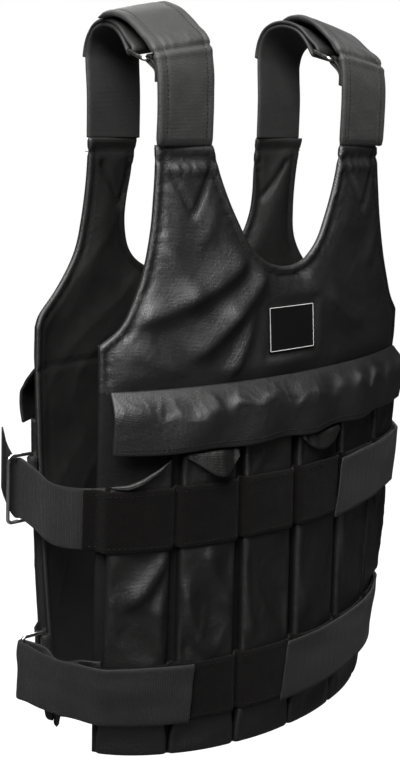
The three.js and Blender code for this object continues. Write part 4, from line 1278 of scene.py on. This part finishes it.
def strap_layer():
    """Plan of a shoulder strap's lower layer: y and z of its middle, and its outward normals."""
    root_y = float(on_body(BACK, BACK_STRAP_X, BIB_HEIGHT, -PANEL_THICK / 2)[1])
    line = np.array(STRAP_LINE) * (ARCH_HALF_DEPTH, SHOULDER_RISE) + (0, BIB_HEIGHT)
    line = spaced(np.vstack([[(root_y, BIB_HEIGHT + CLEARANCE)], line]), STRAP_STEP)
    return line, -arch_normals(line)


def shoulder_ring_place():
    line, normals = strap_layer()
    rear = np.array([0, *(line[-1] + normals[-1] * STRAP_WRAP)])
    direction = unit(np.array([0, -0.95, -0.31]))
    return rear, rear + direction * (RING_WIDTH - WIRE_DIAMETER), direction


def add_shoulder_strap(name, hand):
    """Up and over the shoulder, round the ring's rear bar and back on top of itself."""
    line, normals = strap_layer()
    rear = line[-1] + normals[-1] * STRAP_WRAP
    forward = unit(line[-1] - line[-2])
    turns = np.radians(np.linspace(-60, 60, 7))[:, None]
    fold = rear + STRAP_WRAP * (np.cos(turns) * forward + np.sin(turns) * normals[-1])
    back = np.arange(len(line) - 1, 0, -1)
    run = STRAP_STEP * (len(line) - 1 - back)
    gap = mix(STRAP_THICK + LAYER_GAP, 2 * STRAP_WRAP, bell(run, 9))
    above = line[back] + normals[back] * gap[:, None]
    above = above[run < RETURN_LENGTH]
    whole = spaced(np.vstack([line[::3], fold, above[::3]]), STRAP_STEP)
    span = line[0][0] - rear[0]
    middles = hand * mix(FRONT_STRAP_X, BACK_STRAP_X, np.clip((whole[:, 0] - rear[0]) / span, 0, 1))
    grid = arch_grid(whole, middles, STRAP_WIDTH, 17)
    thick = ribbed_thickness(grid, STRAP_THICK - 0.4, 1.4, 0.08)
    return sheet_piece(name, grid, thick, STRAP_CLOTH)


def add_shoulder_ring(name, hand):
    rear, front, direction = shoulder_ring_place()
    centre = (rear + front) / 2
    centre[0] = hand * FRONT_STRAP_X
    half_up = (STRAP_WIDTH + RING_SLACK + WIRE_DIAMETER) / 2
    lean = unit(np.array([1.0, 0, -hand * SHOULDER_SLOPE * 0.8]))
    return ring_piece(name, centre, direction, lean, (RING_WIDTH - WIRE_DIAMETER) / 2, half_up)


def add_pad_tab(name, hand):
    _, front, _ = shoulder_ring_place()
    first = CLEARANCE + WEBBING_THICK / 2 + 0.4
    second = first + WEBBING_THICK + CLEARANCE
    depths, rises = columns_of(np.array(PAD_LINE) * (ARCH_HALF_DEPTH, 1))

    def pad_inside(z, off):
        rise = (z - BIB_HEIGHT) / SHOULDER_RISE
        y = np.interp(rise, rises, depths)
        slope = (np.interp(rise + 0.05, rises, depths) - y) / (0.05 * SHOULDER_RISE)
        norm = math.hypot(1, slope)
        return y + (PAD_THICK + off) / norm, z - (PAD_THICK + off) * slope / norm

    top = front[2] - WEBBING_WRAP
    line = [pad_inside(top - PAD_TAB_LENGTH, first), pad_inside(top - PAD_TAB_LENGTH / 4, first)]
    line += arc(front[1:], WEBBING_WRAP, 200, -40, 10)
    line += [pad_inside(top - PAD_TAB_LENGTH / 4, second), pad_inside(top - PAD_TAB_LENGTH, second)]
    line = spaced(line, 0.8)
    grid = arch_grid(line, hand * FRONT_STRAP_X, WEBBING_WIDTH, 15)
    thick = ribbed_thickness(grid, WEBBING_THICK, 1.6, 0.15)
    return sheet_piece(name, grid, thick, WEBBING)


# Label
def label_off(s, z):
    return panel_outer(FRONT_PANEL, s, z, LABEL_WIDTH)


def label_top(s, z):
    return label_off(s, z) + LABEL_LIFT + LABEL_THICK


def add_label(name):
    across = np.linspace(-0.5, 0.5, 40) * LABEL_WIDTH
    s, z = np.meshgrid(across, LABEL_MID + np.linspace(-0.5, 0.5, 29) * LABEL_HEIGHT)
    grid = on_body(FRONT, s, z, label_off(s, z) + LABEL_LIFT + LABEL_THICK / 2)
    piece = sheet_piece(name, grid, LABEL_THICK, LABEL)
    border = Stitching()
    half_s, half_z = LABEL_WIDTH / 2 - BORDER_INSET, LABEL_HEIGHT / 2 - BORDER_INSET
    turns = ((-1, -1), (1, -1), (1, 1), (-1, 1), (-1, -1))
    corners = [(a * half_s, b * half_z + LABEL_MID) for a, b in turns]
    for start, end in zip(corners, corners[1:]):
        line = spaced([start, end], 1.0, False)
        body_seam(border, FRONT, line, label_top, 1, pitch=1.0, length=1.2, radius=0.32)
    border.finish("label_border", BORDER)
    return piece


# Building
seams = Stitching()
add_panel("front_panel", FRONT_PANEL, seams)
add_panel("back_panel", BACK_PANEL, seams)
for pocket in range(POCKETS):
    add_pocket(f"front_pocket_{pocket + 1}", FRONT, pocket, FRONT_MOUTHS[pocket])
    add_pocket(f"back_pocket_{pocket + 1}", BACK, pocket, PLAIN_MOUTH)
for side, word in SIDE_NAMES.items():
    add_flap(f"{word}_flap", side, seams)
    for level, middle, _ in (UPPER, LOWER):
        add_band(f"{word}_{level}_band", side, middle, seams)
for word, hand in (("right", RIGHT), ("left", LEFT)):
    for level, middle, lift in (UPPER, LOWER):
        add_side_ring(f"{level}_{word}_ring", hand, middle + lift)
        add_ring_tab(f"{level}_{word}_ring_tab", hand, middle + lift)
    add_shoulder_pad(f"{word}_shoulder_pad", hand, seams)
    add_shoulder_strap(f"{word}_shoulder_strap", hand)
    add_shoulder_ring(f"{word}_shoulder_ring", hand)
    add_pad_tab(f"{word}_shoulder_ring_tab", hand)
add_loose_strap("upper_right_strap", RIGHT, UPPER)
add_folded_strap("lower_right_strap", RIGHT, LOWER, LOWER_RIGHT_END, RIGHT_END_SLANT, 0, True, 101)
add_folded_strap("upper_left_strap", LEFT, UPPER, UPPER_LEFT_END, LEFT_END_SLANT, UPPER_END_STAND, False, 102)
add_folded_strap("lower_left_strap", LEFT, LOWER, LOWER_LEFT_END, LEFT_END_SLANT, LOWER_END_STAND, False, 103)
add_label("label_patch")
seams.finish("stitching")


# Stage, light and camera
FLOOR_DROP = 350.0
FLOOR_REACH = 12.0
AMBIENT = 0.035
LIGHT_AIM = (0.0, 0.0, -0.3)
CAMERA_TARGET = (-24.93, 0.0, 309.92)
CAMERA_AZIMUTH = -42.84
CAMERA_PITCH = 12.75
CAMERA_ROLL = 2.63
CAMERA_DISTANCE = 1062.62
CAMERA_LENS = 58.96
CAMERA_SHIFT = (-0.0076, -0.0251)

# Lights: name, place and size in metres, and power
LIGHTS = [
    ("key", (-1.35, -0.75, 1.35), (1.1, 1.1), 95),
    ("side", (-1.1, -1.5, 0.7), (1.2, 1.2), 7),
    ("top", (-0.3, -0.3, 1.9), (1.4, 1.0), 42),
    ("rear", (0.8, 1.9, 0.8), (1.2, 1.2), 30),
]


def add_stage():
    mesh = bpy.data.meshes.new("floor")
    z = (HEM - FLOOR_DROP) * MM
    turns = ((-1, -1), (1, -1), (1, 1), (-1, 1))
    corners = [(a * FLOOR_REACH, b * FLOOR_REACH, z) for a, b in turns]
    mesh.from_pydata(corners, [], [(0, 1, 2, 3)])
    floor = add_object("floor", mesh)
    material, tree, shader = new_material("pale_floor")
    shader["Base Color"].default_value = (0.08, 0.08, 0.08, 1)
    shader["Roughness"].default_value = 0.9
    shader["Emission Color"].default_value = (1, 1, 1, 1)
    seen = tree.nodes.new("ShaderNodeLightPath").outputs["Is Camera Ray"]
    plug(tree, shader["Emission Strength"], seen)
    mesh.materials.append(material)


def add_world():
    world = bpy.data.worlds.new("studio")
    bpy.context.scene.world = world
    world.use_nodes = True
    tree = world.node_tree
    back = tree.nodes["Background"]
    back.inputs["Color"].default_value = (1, 1, 1, 1)
    seen = tree.nodes.new("ShaderNodeLightPath").outputs["Is Camera Ray"]
    strength = math_node(tree, "MULTIPLY", seen, 1 - AMBIENT)
    tree.links.new(math_node(tree, "ADD", strength, AMBIENT), back.inputs["Strength"])


def add_light(name, place, size, power):
    light = bpy.data.lights.new(name, "AREA")
    light.shape = "RECTANGLE"
    light.size, light.size_y = size
    light.energy = power
    lamp = add_object(name, light)
    lamp.location = place
    lamp.rotation_euler = (Vector(LIGHT_AIM) - Vector(place)).to_track_quat("-Z", "Y").to_euler()


def add_camera():
    azimuth, pitch, roll = (math.radians(a) for a in (CAMERA_AZIMUTH, CAMERA_PITCH, CAMERA_ROLL))
    level = Vector((math.cos(azimuth), math.sin(azimuth), 0))
    flat = math.cos(pitch)
    back = Vector((math.sin(azimuth) * flat, -math.cos(azimuth) * flat, math.sin(pitch)))
    up = back.cross(level)
    right = math.cos(roll) * level + math.sin(roll) * up
    top = -math.sin(roll) * level + math.cos(roll) * up
    target = Vector(CAMERA_TARGET) + Vector((0, 0, HEM))
    place = (target + back * CAMERA_DISTANCE) * MM
    data = bpy.data.cameras.new("camera")
    data.lens = CAMERA_LENS
    data.shift_x, data.shift_y = CAMERA_SHIFT
    camera = add_object("camera", data)
    turn = Matrix((right, top, back)).transposed().to_4x4()
    camera.matrix_world = Matrix.Translation(place) @ turn
    bpy.context.scene.camera = camera


add_stage()
add_world()
for light in LIGHTS:
    add_light(*light)
add_camera()
bpy.context.scene.view_settings.view_transform = "Standard"
